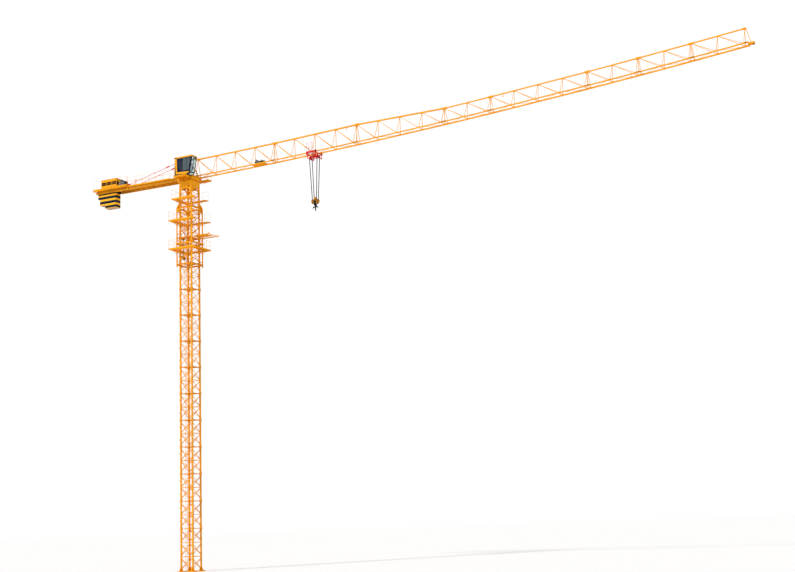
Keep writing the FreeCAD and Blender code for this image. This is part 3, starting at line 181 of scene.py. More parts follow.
class Piece:
    """One named piece, gathered from copies of the stock shapes in millimetres."""

    def __init__(self, name, turn=None):
        self.name = name
        self.turn = turn or Matrix.Identity(4)
        self.parts = []

    def take(self, mesh, matrix):
        """Add a mesh of the piece's own, placed by a matrix."""
        mesh.transform(matrix)
        part = bpy.data.objects.new(self.name, mesh)
        bpy.context.scene.collection.objects.link(part)
        self.parts.append(part)

    def put(self, stock, matrix):
        self.take(STOCK[stock].copy(), self.turn @ matrix)

    def between(self, stock, start, end, width, height):
        start, end = Vector(start), Vector(end)
        run = end - start
        side = Vector((0, 0, 1)).cross(run.normalized())
        side = side.normalized() if side.length > 1e-4 else Vector((0, 1, 0))
        up = run.normalized().cross(side)
        matrix = Matrix.Identity(4)
        for column, axis in enumerate((run, side * width, up * height, start)):
            for row in range(3):
                matrix[row][column] = axis[row]
        self.put(stock, matrix)

    def beam(self, start, end, width, height):
        self.between("bar", start, end, width, height)

    def tube(self, start, end, radius, sides=8):
        self.between(f"rod{sides}", start, end, radius, radius)

    def block(self, x, y, z):
        middle_y, middle_z = (y[0] + y[1]) / 2, (z[0] + z[1]) / 2
        self.beam(
            (x[0], middle_y, middle_z), (x[1], middle_y, middle_z), abs(y[1] - y[0]), abs(z[1] - z[0])
        )

    def upright(self, x, y, half_x, half_y, z):
        """A block about a point, from one height to another."""
        self.block((x - half_x, x + half_x), (y - half_y, y + half_y), z)

    def both_ways(self, u, v, z):
        """The same block laid along X and then along Y."""
        self.block(u, v, z)
        self.block(v, u, z)

    def prism(self, corners, y):
        """A plate square to Y whose outline has four (x, z) corners, anticlockwise seen from -Y."""
        mesh = STOCK["bar"].copy()
        for vertex in mesh.vertices:
            right, back, high = vertex.co.x > 0.5, vertex.co.y > 0, vertex.co.z > 0
            x, z = corners[{(0, 0): 0, (1, 0): 1, (1, 1): 2, (0, 1): 3}[right, high]]
            vertex.co = (x, max(y) if back else min(y), z)
        self.take(mesh, self.turn)

    def coil(self, centre, axis, radius):
        turn = Vector((1, 0, 0)).rotation_difference(Vector(axis)).to_matrix().to_4x4()
        self.put("coil", Matrix.Translation(centre) @ turn @ Matrix.Scale(radius, 4))

    def ball(self, centre, radius):
        self.put("ball", Matrix.Translation(centre) @ Matrix.Scale(radius, 4))

    def bolt(self, at, axis, size=2.0, height=1.5):
        at, axis = Vector(at), Vector(axis).normalized()
        self.tube(at, at + axis * height, size, 6)

    def bolt_circle(self, count, radius, z, size, height):
        for k in range(count):
            angle = math.tau * k / count
            self.bolt((radius * math.cos(angle), radius * math.sin(angle), z), (0, 0, 1), size, height)

    def done(self, finish, body, stands_for=(), bevel=0.0, segments=1):
        """Join the parts into one finished piece on a body."""
        clear()
        for part in self.parts:
            part.select_set(True)
        piece = self.parts[0]
        bpy.context.view_layer.objects.active = piece
        if len(self.parts) > 1:
            bpy.ops.object.join()
        piece = bpy.context.view_layer.objects.active
        piece.data.transform(Matrix.Scale(MM, 4))
        piece.name = self.name
        piece.data.name = self.name
        return settle(piece, finish, body, stands_for, bevel, segments)


def settle(piece, finish, body, stands_for=(), bevel=0.0, segments=1):
    """Soften a piece's edges, give it its finish and set it on its body, if it has one."""
    clear()
    piece.select_set(True)
    bpy.context.view_layer.objects.active = piece
    if bevel:
        rounding = piece.modifiers.new("Rounding", "BEVEL")
        rounding.width = bevel * MM
        rounding.segments = segments
        rounding.limit_method = "ANGLE"
        rounding.angle_limit = math.radians(62)
        bpy.ops.object.modifier_apply(modifier=rounding.name)
    bpy.ops.object.shade_smooth_by_angle(angle=math.radians(50))
    piece.data.materials.clear()
    piece.data.materials.append(FINISHES[finish])
    if body:
        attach(piece, body)
    if stands_for:
        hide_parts(*stands_for)
    return piece


def softened(node, name, finish, bevel=0.6):
    """A copy of a CAD node with its triangles merged and its edges rounded."""
    source = frame["nodes"][node]
    clear()
    piece = bpy.data.objects.new(name, source.data.copy())
    bpy.context.scene.collection.objects.link(piece)
    piece.select_set(True)
    bpy.context.view_layer.objects.active = piece
    bpy.ops.object.mode_set(mode="EDIT")
    bpy.ops.mesh.select_all(action="SELECT")
    bpy.ops.mesh.remove_doubles(threshold=0.000002)
    bpy.ops.mesh.dissolve_limited(angle_limit=math.radians(0.5))
    bpy.ops.object.mode_set(mode="OBJECT")
    return settle(piece, finish, BODY_OF[node], (node,), bevel)


# ---------------------------------------------------------------- finishes


class Signal:
    """A shader value that Python's arithmetic adds Math nodes to."""

    def __init__(self, finish, socket):
        self.finish = finish
        self.socket = socket

    def math(self, operation, *values, clamp=False):
        settings = {"operation": operation, "use_clamp": clamp}
        return self.finish.node("ShaderNodeMath", settings, {i: v for i, v in enumerate(values)})

    def __add__(self, other):
        return self.math("ADD", self, other)

    def __sub__(self, other):
        return self.math("SUBTRACT", self, other)

    def __mul__(self, other):
        return self.math("MULTIPLY", self, other)

    def __truediv__(self, other):
        return self.math("DIVIDE", self, other)

    def __rsub__(self, other):
        return self.math("SUBTRACT", other, self)

    def __gt__(self, other):
        return self.math("GREATER_THAN", self, other)

    def __lt__(self, other):
        return self.math("LESS_THAN", self, other)

    __radd__ = __add__
    __rmul__ = __mul__

    def clamped(self):
        return self.math("ADD", self, 0.0, clamp=True)

    def sine(self):
        return self.math("SINE", self)


class Finish:
    """A node material with one Principled shader."""

    def __init__(self, name):
        self.material = bpy.data.materials.new(name)
        self.material.use_nodes = True
        self.tree = self.material.node_tree
        self.tree.nodes.clear()
        self.shader = self.tree.nodes.new("ShaderNodeBsdfPrincipled")
        output = self.tree.nodes.new("ShaderNodeOutputMaterial")
        self.tree.links.new(self.shader.outputs[0], output.inputs["Surface"])
        coordinates = self.tree.nodes.new("ShaderNodeTexCoord")
        self.place = Signal(self, coordinates.outputs["Object"])

    def feed(self, socket, value):
        if isinstance(value, Signal):
            self.tree.links.new(value.socket, socket)
        elif isinstance(value, tuple) and len(value) == 3 and socket.type == "RGBA":
            socket.default_value = (*value, 1.0)
        else:
            socket.default_value = value

    def node(self, kind, settings, sockets, output=0):
        """Add a node: its settings first, then the values or links of its sockets."""
        made = self.tree.nodes.new(kind)
        for key, value in settings.items():
            if key == "stops":
                ramp = made.color_ramp
                while len(ramp.elements) < len(value):
                    ramp.elements.new(0.5)
                for element, (at, colour) in zip(ramp.elements, value):
                    element.position = at
                    element.color = (*colour, 1.0)
            elif key == "interpolation_of_ramp":
                made.color_ramp.interpolation = value
            else:
                setattr(made, key, value)
        for key, value in sockets.items():
            self.feed(made.inputs[key], value)
        return Signal(self, made.outputs[output])

    def noise(self, scale, detail=3.0, rough=0.55, stretch=(1, 1, 1)):
        place = self.place
        if stretch != (1, 1, 1):
            place = self.node("ShaderNodeMapping", {}, {"Vector": self.place, "Scale": stretch})
        sockets = {"Vector": place, "Scale": scale, "Detail": detail, "Roughness": rough}
        return self.node("ShaderNodeTexNoise", {}, sockets)

    def axis(self, name):
        return self.node("ShaderNodeSeparateXYZ", {}, {0: self.place}, "XYZ".index(name))

    def blend(self, amount, first, second):
        settings = {"data_type": "RGBA"}
        return self.node("ShaderNodeMix", settings, {0: amount, 6: first, 7: second}, 2)

    def relief(self, height, strength, distance):
        sockets = {"Height": height, "Strength": strength, "Distance": distance}
        return self.node("ShaderNodeBump", {}, sockets)

    def wear(self, **inputs):
        self.shader.inputs["Specular IOR Level"].default_value = 0.15
        for key, value in inputs.items():
            self.feed(self.shader.inputs[key.replace("_", " ")], value)
        return self.material


def shade(colour, amount):
    return tuple(min(1.0, c * amount) for c in colour)


def paint(name, colour, gloss=0.38, chips=0.5, grime=0.45, metallic=0.0, bare=(0.10, 0.055, 0.03)):
    """Brushed-on site paint: faded in patches, streaked by rain, chipped to primer."""
    finish = Finish(name)
    fade = finish.noise(7.0, 4.0)
    blotch = finish.noise(60.0, 5.0, 0.65)
    streak = finish.noise(1.0, 4.0, 0.6, (130, 130, 7))
    grain = finish.noise(900.0, 2.0)
    flake = finish.noise(320.0, 6.0, 0.7)
    chipped = ((flake - (0.735 - 0.06 * chips)) * 30.0).clamped()
    dirt = (((streak - 0.52) * 3.2).clamped() * (blotch + 0.2) * grime).clamped()
    tone = finish.blend(((fade - 0.3) * 2.2).clamped(), shade(colour, 0.84), shade(colour, 1.07))
    tone = finish.blend(dirt, tone, shade(colour, 0.34))
    tone = finish.blend(chipped, tone, bare)
    return finish.wear(
        Base_Color=tone,
        Roughness=(gloss + 0.08 + blotch * 0.22 + dirt * 0.3 + chipped * 0.25).clamped(),
        Metallic=metallic,
        Normal=finish.relief(grain * 0.5 + blotch * 0.6 - chipped * 0.9, 0.35, 0.0004),
    )


def banded_slabs(name, light, dark):
    """Concrete slabs painted in level bands, streaked with dirt and chipped, with painted shade in the bare
    concrete's colour on their downward faces.
    """
    finish = Finish(name)
    height = finish.axis("Z")
    low, rise = 4.262, 0.210
    wobble = finish.noise(260.0, 3.0)
    level = (height + (wobble - 0.5) * 0.0009 - low) / rise
    edges = (4.2915, 4.3200, 4.3455, 4.3780, 4.4030, 4.4345, 4.4570)
    stops = [(0.0, light)]
    for index, edge in enumerate(edges):
        stops.append(((edge - low) / rise, light if index % 2 else dark))
    bands = finish.node(
        "ShaderNodeValToRGB", {"stops": stops, "interpolation_of_ramp": "CONSTANT"}, {0: level.clamped()}
    )
    blotch = finish.noise(45.0, 5.0, 0.65)
    streak = finish.noise(1.0, 4.0, 0.6, (150, 150, 9))
    flake = finish.noise(240.0, 6.0, 0.72)
    chipped = ((flake - 0.69) * 26.0).clamped()
    dirt = (((streak - 0.5) * 3.0).clamped() * (blotch + 0.2) * 0.4).clamped()
    # Faces that point down take the bare concrete colour: painted shade on the slabs' undersides.
    facing = finish.node("ShaderNodeNewGeometry", {}, {}, 1)
    under = finish.node("ShaderNodeSeparateXYZ", {}, {0: facing}, 2)
    bottom = under < -0.8
    tone = finish.blend(dirt, bands, (0.16, 0.11, 0.06))
    tone = finish.blend((chipped + bottom * 0.85).clamped(), tone, (0.36, 0.27, 0.23))
    return finish.wear(
        Base_Color=tone,
        Roughness=(0.5 + blotch * 0.2 + chipped * 0.2).clamped(),
        Normal=finish.relief(blotch - chipped * 0.7 + wobble * 0.4, 0.4, 0.0006),
    )


def zinc(name):
    """Hot-dip zinc: pale spangle with dull stains."""
    finish = Finish(name)
    spangle = finish.node("ShaderNodeTexVoronoi", {}, {"Vector": finish.place, "Scale": 420.0}, 1)
    flat = finish.node("ShaderNodeRGBToBW", {}, {0: spangle})
    stain = finish.noise(50.0, 4.0)
    tone = finish.blend((flat * 0.5 + stain * 0.5).clamped(), (0.42, 0.43, 0.44), (0.68, 0.68, 0.67))
    return finish.wear(
        Base_Color=tone,
        Roughness=(0.38 + stain * 0.3).clamped(),
        Metallic=0.75,
        Normal=finish.relief(stain + flat * 0.2, 0.2, 0.0003),
    )


def tread_plate(name, colour):
    """Painted floor plate with raised lozenges worn through on top."""
    finish = Finish(name)
    across, along = finish.axis("X"), finish.axis("Y")
    one = ((across + along) * 900.0).sine() * ((across - along) * 900.0).sine()
    lozenge = ((one - 0.55) * 4.0).clamped()
    mud = finish.noise(38.0, 5.0, 0.65)
    rub = finish.noise(130.0, 4.0)
    tone = finish.blend(((mud - 0.42) * 2.4).clamped(), colour, (0.20, 0.13, 0.07))
    tone = finish.blend((lozenge * (rub - 0.42) * 4.0).clamped(), tone, (0.42, 0.38, 0.33))
    return finish.wear(
        Base_Color=tone,
        Roughness=(0.42 + mud * 0.3).clamped(),
        Normal=finish.relief(lozenge + rub * 0.2, 0.6, 0.0006),
    )


def wire_rope(name):
    """Greased rope with the lay of its strands."""
    finish = Finish(name)
    around, length = finish.axis("X"), finish.axis("Z")
    lay = ((length * 2300.0) + (around * 1700.0) + (finish.axis("Y") * 1700.0)).sine()
    grease = finish.noise(90.0, 4.0)
    tone = finish.blend((lay * 0.5 + 0.5).clamped(), (0.012, 0.012, 0.013), (0.07, 0.07, 0.072))
    tone = finish.blend(((grease - 0.5) * 2.5).clamped(), tone, (0.02, 0.018, 0.016))
    return finish.wear(
        Base_Color=tone,
        Roughness=(0.45 + grease * 0.3).clamped(),
        Metallic=0.2,
        Normal=finish.relief(lay, 0.7, 0.0005),
    )


def tinted_glass(name, colour):
    """Cab glass, tinted, with a dusty film and a painted sky reflection on the windscreen."""
    finish = Finish(name)
    dust = finish.noise(26.0, 5.0, 0.6)
    drip = finish.noise(1.0, 3.0, 0.5, (110, 110, 9))
    film = (((dust - 0.45) * 1.6).clamped() * (drip + 0.3)).clamped()
    across = finish.axis("Y") - CAB_MIDDLE * MM
    inner = (CAB_FAR - CAB_NEAR) * MM / 2 - 6 * MM
    forward = across * across < inner * inner
    # The windscreen takes a lighter tint with bright patches: a painted sky reflection.
    painted_sky_reflection = ((finish.noise(26.0, 2.0, 0.4, (0.4, 1.0, 1.4)) - 0.45) * 9.0).clamped()
    lit = finish.blend(painted_sky_reflection, shade(colour, 0.5), (0.78, 1.0, 1.0))
    side = finish.blend(film * 0.5, shade(colour, 0.42), (0.30, 0.38, 0.39))
    tone = finish.blend(forward, side, lit)
    finish.shader.inputs["Transmission Weight"].default_value = 0.25
    finish.shader.inputs["IOR"].default_value = 1.5
    finish.shader.inputs["Coat Roughness"].default_value = 0.02
    return finish.wear(
        Base_Color=tone,
        Roughness=(0.05 + film * 0.3).clamped(),
        Coat_Weight=0.6,
        Normal=finish.relief(dust, 0.04, 0.0006),
    )


def ground_steel(name, colour=(0.55, 0.55, 0.56), rough=0.22):
    """Turned or rolled bright steel with fine tool marks."""
    finish = Finish(name)
    marks = finish.noise(1.0, 3.0, 0.5, (240, 240, 2600))
    smear = finish.noise(70.0, 4.0)
    tone = finish.blend(((smear - 0.4) * 2.0).clamped(), colour, shade(colour, 0.6))
    return finish.wear(
        Base_Color=tone,
        Roughness=(rough + smear * 0.2 + marks * 0.08).clamped(),
        Metallic=0.95,
        Normal=finish.relief(marks, 0.2, 0.0002),
    )


def seal_rubber(name):
    finish = Finish(name)
    bloom = finish.noise(120.0, 4.0)
    tone = finish.blend(bloom, (0.012, 0.012, 0.012), (0.05, 0.048, 0.046))
    return finish.wear(
        Base_Color=tone, Roughness=(0.6 + bloom * 0.25).clamped(), Normal=finish.relief(bloom, 0.3, 0.0003)
    )


FINISHES = {}


def make_finishes():
    colours = bpy.context.scene.crane_colours
    orange, navy, red = tuple(colours.orange), tuple(colours.navy), tuple(colours.red)
    black, machine = tuple(colours.black), tuple(colours.machine)
    FINISHES.update({
        "orange": paint("orange_paint", orange),
        "orange_worn": paint("orange_paint_worn", shade(orange, 0.93), chips=1.2, grime=0.75),
        # The girders take a darker copy of the orange paint, with more dirt streaks: painted shade on the
        # girders.
        "orange_girder_painted_shade": paint("orange_paint_girder_painted_shade", shade(orange, 0.7), grime=0.6),
        "orange_dark": paint("orange_paint_oily", shade(orange, 0.36), chips=0.8, grime=0.8),
        "orange_rail": paint("orange_rail_paint", shade(orange, 1.04), chips=0.3, grime=0.2),
        "tread": tread_plate("orange_tread_plate", orange),
        "slabs": banded_slabs("banded_slab_paint", tuple(colours.slab), shade(navy, 0.8)),
        "navy": paint("navy_paint", navy, gloss=0.26, chips=0.1, grime=0.3, bare=(0.2, 0.2, 0.2)),
        "red": paint("red_paint", red, gloss=0.3, chips=0.6, grime=0.3),
        "stay": paint("stay_paint", tuple(colours.stay), chips=0.8, grime=0.25),
        "stay_red": paint("stay_fitting_paint", shade(red, 1.05), chips=0.4),
        "block": paint("hook_block_paint", shade(orange, 0.62), gloss=0.4, chips=1.0, grime=0.8),
        "machine": paint("machinery_paint", machine, gloss=0.4, chips=0.5),
        "machine_mid": paint("haul_winch_paint", shade(machine, 0.6), gloss=0.45, chips=0.4),
        "machine_dark": paint("machinery_dark_paint", shade(machine, 0.35), gloss=0.45, chips=0.3),
        "black": paint("black_steel_paint", black, gloss=0.34, chips=0.7, bare=(0.16, 0.14, 0.12)),
        "zinc": zinc("dip_zinc"),
        "rope": wire_rope("wire_rope"),
        "glass": tinted_glass("cab_pane_glass", tuple(colours.glass)),
        "steel": ground_steel("rolled_steel"),
        "chrome": ground_steel("jack_rod_chrome", (0.78, 0.79, 0.8), 0.08),
        "seal": seal_rubber("window_seal"),
    })


def dress_node(node, finish):
    """Give a CAD node that stays its finish."""
    mesh = frame["nodes"][node].data
    mesh.materials.clear()
    mesh.materials.append(FINISHES[finish])


# --------------------------------------------------------------- the mast


def corners_at(half_x, half_y=None):
    """The signs and the place of each corner of a rectangle about the mast's axis."""
    for sx in (-1, 1):
        for sy in (-1, 1):
            yield sx, sy, sx * half_x, sy * (half_x if half_y is None else half_y)


def wall_point(side):
    """Places a point across a mast or cage wall, given its half width."""
    return {
        "right": lambda u, z, half: (u, -half, z),
        "left": lambda u, z, half: (u, half, z),
        "rear": lambda u, z, half: (-half, u, z),
        "front": lambda u, z, half: (half, u, z),
    }[side]


def gusset(piece, at, side, wide, tall, thick=1.4):
    """A flat plate lying in a wall, square to the wall's outward axis."""
    x, y, z = at
    if side in ("right", "left"):
        piece.upright(x, y, wide / 2, thick / 2, (z - tall / 2, z + tall / 2))
    else:
        piece.upright(x, y, thick / 2, wide / 2, (z - tall / 2, z + tall / 2))


def crossed(piece, side, half, inner, low, high, radius):
    """Two crossed tubes with plates at their ends and middle."""
    at = wall_point(side)
    middle = (low + high) / 2
    piece.tube(at(-inner, low, half), at(inner, high, half), radius)
    piece.tube(at(inner, low, half), at(-inner, high, half), radius)
    gusset(piece, at(0, middle, half), side, radius * 5, radius * 4, 2.2)
    for u in (-inner + radius * 1.7, inner - radius * 1.7):
        for z in (low + radius, high - radius):
            gusset(piece, at(u, z, half), side, radius * 3.4, radius * 4.2)


def level_bar(piece, side, half, inner, z, radius):
    at = wall_point(side)
    piece.tube(at(-inner, z, half), at(inner, z, half), radius)
    for u in (-inner + 3, inner - 3):
        gusset(piece, at(u, z, half), side, 6, radius * 3.2)


def build_mast_walls():
    radius = bpy.context.scene.crane_sizes.brace / MM
    panel = (BASE - 10) / 3
    for side in ("right", "left", "rear", "front"):
        wall = Piece(f"mast_lattice_{side}")
        for k in range(3):
            low = 10 + k * panel
            crossed(wall, side, CHORD, CHORD_FACE, low + 0.16 * panel, low + 0.84 * panel, radius)
            if k:
                level_bar(wall, side, CHORD, CHORD_FACE, low, radius)
        for k in range(SECTIONS):
            ring = BASE + k * SECTION
            level_bar(wall, side, CHORD, RING_INNER, ring, radius)
            crossed(wall, side, CHORD, CHORD_FACE, ring + 0.11 * SECTION, ring + 0.46 * SECTION, radius)
            level_bar(wall, side, CHORD, CHORD_FACE, ring + SECTION / 2, radius)
            crossed(wall, side, CHORD, CHORD_FACE, ring + 0.54 * SECTION, ring + 0.89 * SECTION, radius)
        level_bar(wall, side, CHORD, RING_INNER, TOP - 3.6, radius)
        wall.done("orange", "mast", (f"mast_side_{side}",), 0.25)


def build_mast_posts():
    head = bpy.context.scene.crane_sizes.bolt / MM
    posts = Piece("mast_corner_posts")
    bolts = Piece("mast_joint_bolts")
    for sx, sy, x, y in corners_at(CHORD):
        posts.upright(x, y, CHORD_HALF, CHORD_HALF, (10, BASE - 0.3))
        for k in range(SECTIONS + 1):
            ring = BASE + k * SECTION
            if k < SECTIONS:
                posts.upright(x, y, CHORD_HALF, CHORD_HALF, (ring + 0.3, ring + SECTION - 0.3))
                posts.upright(x, y, COLLAR_HALF, COLLAR_HALF, (ring + 0.5, ring + 17))
            posts.upright(x, y, COLLAR_HALF, COLLAR_HALF, (ring - 17, ring - 0.5))
            for z in (ring - 9, ring + 9) if k < SECTIONS else (ring - 9,):
                for offset in (-5, 5):
                    bolts.bolt((x + sx * COLLAR_HALF, y + offset, z), (sx, 0, 0), head)
                    bolts.bolt((x + offset, y + sy * COLLAR_HALF, z), (0, sy, 0), head)
            if sx < 0 and k < SECTIONS:
                for lift in (78, 224):
                    z = ring + lift
                    posts.block((x - 16.5, x - 7), (y - 8, y + 8), (z - 7, z + 7))
                    posts.block((x - 12, x - 7), (y - 5, y + 5), (z - 15, z - 6))
    posts.done("orange_worn", "mast", ("mast_chords",), 0.9, 2)
    bolts.done("zinc", "mast")


def build_mast_inside():
    ladder = Piece("mast_climb_ladder")
    x = -CHORD + 2.5 + 14
    for y in (-15.5, 15.5):
        ladder.upright(x, y, 1.5, 0.7, (10, TOP))
    rungs = int((TOP - 10) / 30 - 0.5)
    for k in range(rungs):
        z = 40 + 30 * k
        ladder.tube((x, -16, z), (x, 16, z), 1.1)
    for k in range(SECTIONS):
        z = BASE + k * SECTION
        for y in (-15.5, 15.5):
            ladder.block((x - 6.7, x), (y - 1.2, y + 1.2), (z, z + 3))
    ladder.done("orange_worn", "mast", ("mast_ladder",))
    frames = Piece("mast_landing_frames")
    for k in range(SECTIONS):
        z = BASE + k * SECTION
        for y in (-40, 40):
            frames.block((-66, 66), (y - 1.2, y + 1.2), (z - 6, z - 0.1))
        for x_bar in (-20, 20, 56):
            frames.block((x_bar - 1.2, x_bar + 1.2), (-70, 70), (z - 6, z - 0.1))
        hatch = x + 34
        frames.block((hatch - 1, hatch + 1), (-22, 22), (z + 3, z + 6))
    frames.done("orange_worn", "mast")
    dress_node("mast_rest_platforms", "tread")
    feet = Piece("foot_stiffeners")
    for _, _, cx, cy in corners_at(CHORD):
        for dx, dy in ((1, 0), (-1, 0), (0, 1), (0, -1)):
            for step, tall in ((9, 46), (14, 34), (19, 22), (24, 12)):
                ax, ay = cx + dx * step, cy + dy * step
                wide_x, wide_y = (5, 1.6) if dx else (1.6, 5)
                feet.upright(ax, ay, wide_x / 2, wide_y / 2, (10, 10 + tall))
    feet.done("orange_worn", "mast")
    softened("base_frame", "base_cross_frame", "orange_worn", 0.8)


# ------------------------------------------------------ climbing frame


def handrail(piece, path, low, spacing=82.0, closed=False):
    """Tube handrail, knee rail, kick board and posts along a path."""
    radius = bpy.context.scene.crane_sizes.rail / MM
    corners = path + path[:1] if closed else path
    for (x0, y0), (x1, y1) in zip(corners[:-1], corners[1:]):
        piece.tube((x0, y0, low + RAIL_HIGH), (x1, y1, low + RAIL_HIGH), radius)
        piece.tube((x0, y0, low + KNEE_HIGH), (x1, y1, low + KNEE_HIGH), radius * 0.8)
        piece.beam((x0, y0, low + 5), (x1, y1, low + 5), 0.8, 9)
        count = max(1, round(math.hypot(x1 - x0, y1 - y0) / spacing))
        for k in range(count + 1):
            x, y = x0 + (x1 - x0) * k / count, y0 + (y1 - y0) * k / count
            piece.tube((x, y, low), (x, y, low + RAIL_HIGH), radius)
            piece.upright(x, y, 2, 2, (low, low + 1.2))


def grated_strip(steel, grid, x, y, top, thick=6.0):
    """A strip of walkway: edge channels, joists and bar grating."""
    pitch = bpy.context.scene.crane_sizes.grating / MM
    steel.block((x[0], x[1]), (y[0], y[0] + 2), (top - thick, top))
    steel.block((x[0], x[1]), (y[1] - 2, y[1]), (top - thick, top))
    steel.block((x[0], x[0] + 2), y, (top - thick, top))
    steel.block((x[1] - 2, x[1]), y, (top - thick, top))
    along_x = (x[1] - x[0]) >= (y[1] - y[0])
    span, cross = (x, y) if along_x else (y, x)
    inside_x, inside_y = (x[0] + 2, x[1] - 2), (y[0] + 2, y[1] - 2)

    def bar(piece, at, half, z, square_to_run):
        if square_to_run == along_x:
            piece.block((at - half, at + half), inside_y, z)
        else:
            piece.block(inside_x, (at - half, at + half), z)

    joists = max(1, round((span[1] - span[0]) / 56))
    for k in range(1, joists):
        bar(steel, span[0] + (span[1] - span[0]) * k / joists, 1.2, (top - thick, top - 2.6), True)
    bars = int((cross[1] - cross[0] - 4) / pitch)
    for k in range(1, bars + 1):
        at = cross[0] + 2 + (cross[1] - cross[0] - 4) * k / (bars + 1)
        bar(grid, at, 0.45, (top - 2.6, top - 0.2), False)
    ties = int((span[1] - span[0]) / 20)
    for k in range(1, ties):
        bar(grid, span[0] + (span[1] - span[0]) * k / ties, 0.4, (top - 2.0, top - 1.2), True)


def walkway(word, node, top, half, hole, front, closed, brackets_from):
    """A deck round the cage with its handrail and the brackets under it."""
    steel = Piece(f"{word}_deck_frame")
    grid = Piece(f"{word}_deck_grating")
    rails = Piece(f"{word}_deck_handrail")
    grated_strip(steel, grid, (-half, front), (-half, -hole), top)
    grated_strip(steel, grid, (-half, front), (hole, half), top)
    grated_strip(steel, grid, (-half, -hole), (-hole, hole), top)
    if closed:
        grated_strip(steel, grid, (hole, front), (-hole, hole), top)
    for sx, sy, x, y in corners_at(brackets_from):
        drop = top - 6 - (half - brackets_from) * 0.6
        steel.beam((x, y, drop), (x, sy * (half - 8), top - 6), 3, 3)
        if sx < 0 or closed:
            steel.beam((x, y, drop), (sx * (half - 8), y, top - 6), 3, 3)
        steel.beam((x, y, top - 9), (x, sy * (half - 6), top - 9), 4, 6)
    inset = 1.6
    path = [(front - inset, -half + inset), (-half + inset, -half + inset)]
    path += [(-half + inset, half - inset), (front - inset, half - inset)]
    handrail(rails, path, top, closed=closed)
    body = BODY_OF[node]
    steel.done("orange", body, (node,), 0.3)
    grid.done("orange_worn", body)
    rails.done("orange_rail", body)


def build_walkways():
    walkway("lower", "platform_lower", LOWER_DECK, 175, 109.8, 175, True, POST + 5)
    walkway("middle", "platform_middle", MIDDLE_DECK, 175, 109.8, 175, False, POST + 5)
    walkway("upper", "platform_upper", UPPER_DECK, 150, 85.8, 162, False, CHORD + 8)


def build_cage():
    body = "climbing_frame"
    posts = Piece("cage_corner_posts")
    bolts = Piece("cage_bolts")
    for sx, sy, x, y in corners_at(POST):
        posts.upright(x, y, 5.8, 5.8, (CAGE_LOW, CAGE_HIGH - 16))
        for z in (CAGE_LOW, CAGE_LOW + 300):
            posts.upright(x, y, 7, 7, (z, z + 3))
        posts.beam((x, y, CAGE_HIGH - 22), (sx * 90, sy * 90, TOP + 96), 15, 17)
        for z in (CAGE_LOW + 26, CAGE_LOW + 34, CAGE_HIGH - 18, CAGE_HIGH - 10):
            bolts.bolt((x + sx * 5.8, y, z), (sx, 0, 0), 1.7, 1.2)
            bolts.bolt((x, y + sy * 5.8, z), (0, sy, 0), 1.7, 1.2)
    posts.done("orange", body, ("cage_posts",), 0.7, 2)
    beams = Piece("cage_ring_channels")
    inner = POST - 5
    for low in (CAGE_LOW + 21, CAGE_HIGH - 22):
        for s in (-1, 1):
            web = s * POST
            for z in (low, low + 15.6):
                beams.both_ways((-inner, inner), (web - 5, web + 5), (z, z + 2.4))
            outer = web - s * 3.4
            beams.both_ways((-inner, inner), (outer - 1.2, outer + 1.2), (low + 2, low + 16))
            for u in range(-80, 81, 40):
                beams.upright(u, web, 0.8, 4.6, (low + 2, low + 16))
                beams.upright(web, u, 4.6, 0.8, (low + 2, low + 16))
    for s in (-1, 1):
        for w in (-1, 1):
            for near, far, tall in ((5, 15, 52), (15, 25, 38), (25, 37, 25), (37, 52, 12)):
                u = sorted((w * (POST - near), w * (POST - far)))
                z = (CAGE_HIGH - 22 - tall, CAGE_HIGH - 21)
                beams.block(u, (s * POST - 1.2, s * POST + 1.2), z)
                if s > 0:
                    continue
                beams.block((s * POST - 1.2, s * POST + 1.2), u, z)
        waist = s * (POST + 9)
        span = (-POST - 11, POST + 11)
        for z in ((-1, 0.8), (13.2, 15)):
            beams.both_ways(span, (waist - 3, waist + 3), (WAIST + z[0], WAIST + z[1]))
        beams.both_ways(span, (waist - 0.8, waist + 0.8), (WAIST, WAIST + 14))
    beams.done("orange", body, ("cage_ring_beams",), 0.3)
    levels = [CAGE_LOW + 39, LOWER_DECK, FEED_DECK, MIDDLE_DECK, CAGE_HIGH - 22]
    for side in ("right", "left", "rear"):
        wall = Piece(f"cage_lattice_{side}")
        for low, high in zip(levels[:-1], levels[1:]):
            rise = high - low
            crossed(wall, side, POST, inner, low + 0.14 * rise, high - 0.14 * rise, 3.0)
        for z in levels[1:-1]:
            level_bar(wall, side, POST, inner, z + 3.8, 2.8)
        wall.done("orange", body, (f"cage_side_{side}",), 0.25)
    rollers = Piece("cage_guide_rollers")
    for z in (CAGE_LOW + 30, CAGE_HIGH - 13):
        for sx, sy, x, y in corners_at(94.4, 70):
            rollers.tube((x, y - 5, z), (x, y + 5, z), 4.4, 12)
            rollers.block((x - 1.2, x + sx * 6 + 1.2), (y - 7, y - 5.6), (z - 3, z + 3))
            rollers.block((x - 1.2, x + sx * 6 + 1.2), (y + 5.6, y + 7), (z - 3, z + 3))
            rollers.tube((y * sx - 5, sy * 94.4, z), (y * sx + 5, sy * 94.4, z), 4.4, 12)
    rollers.done("steel", body, (), 0.3)
    for s_x in (-1, 1):
        for s_y in (-1, 1):
            for r, z in ((89, TOP + 34), (89, TOP + 74), (94, TOP + 52)):
                across = Vector((-s_y, s_x, 0)).normalized()
                for way in (-1, 1):
                    start = Vector((s_x * r, s_y * r, z)) + across * way * 2.5
                    bolts.bolt(start, across * way, 1.8, 1.3)
    bolts.done("zinc", body)
    softened("cage_shoulder_plates", "cage_shoulders", "orange", 0.6)


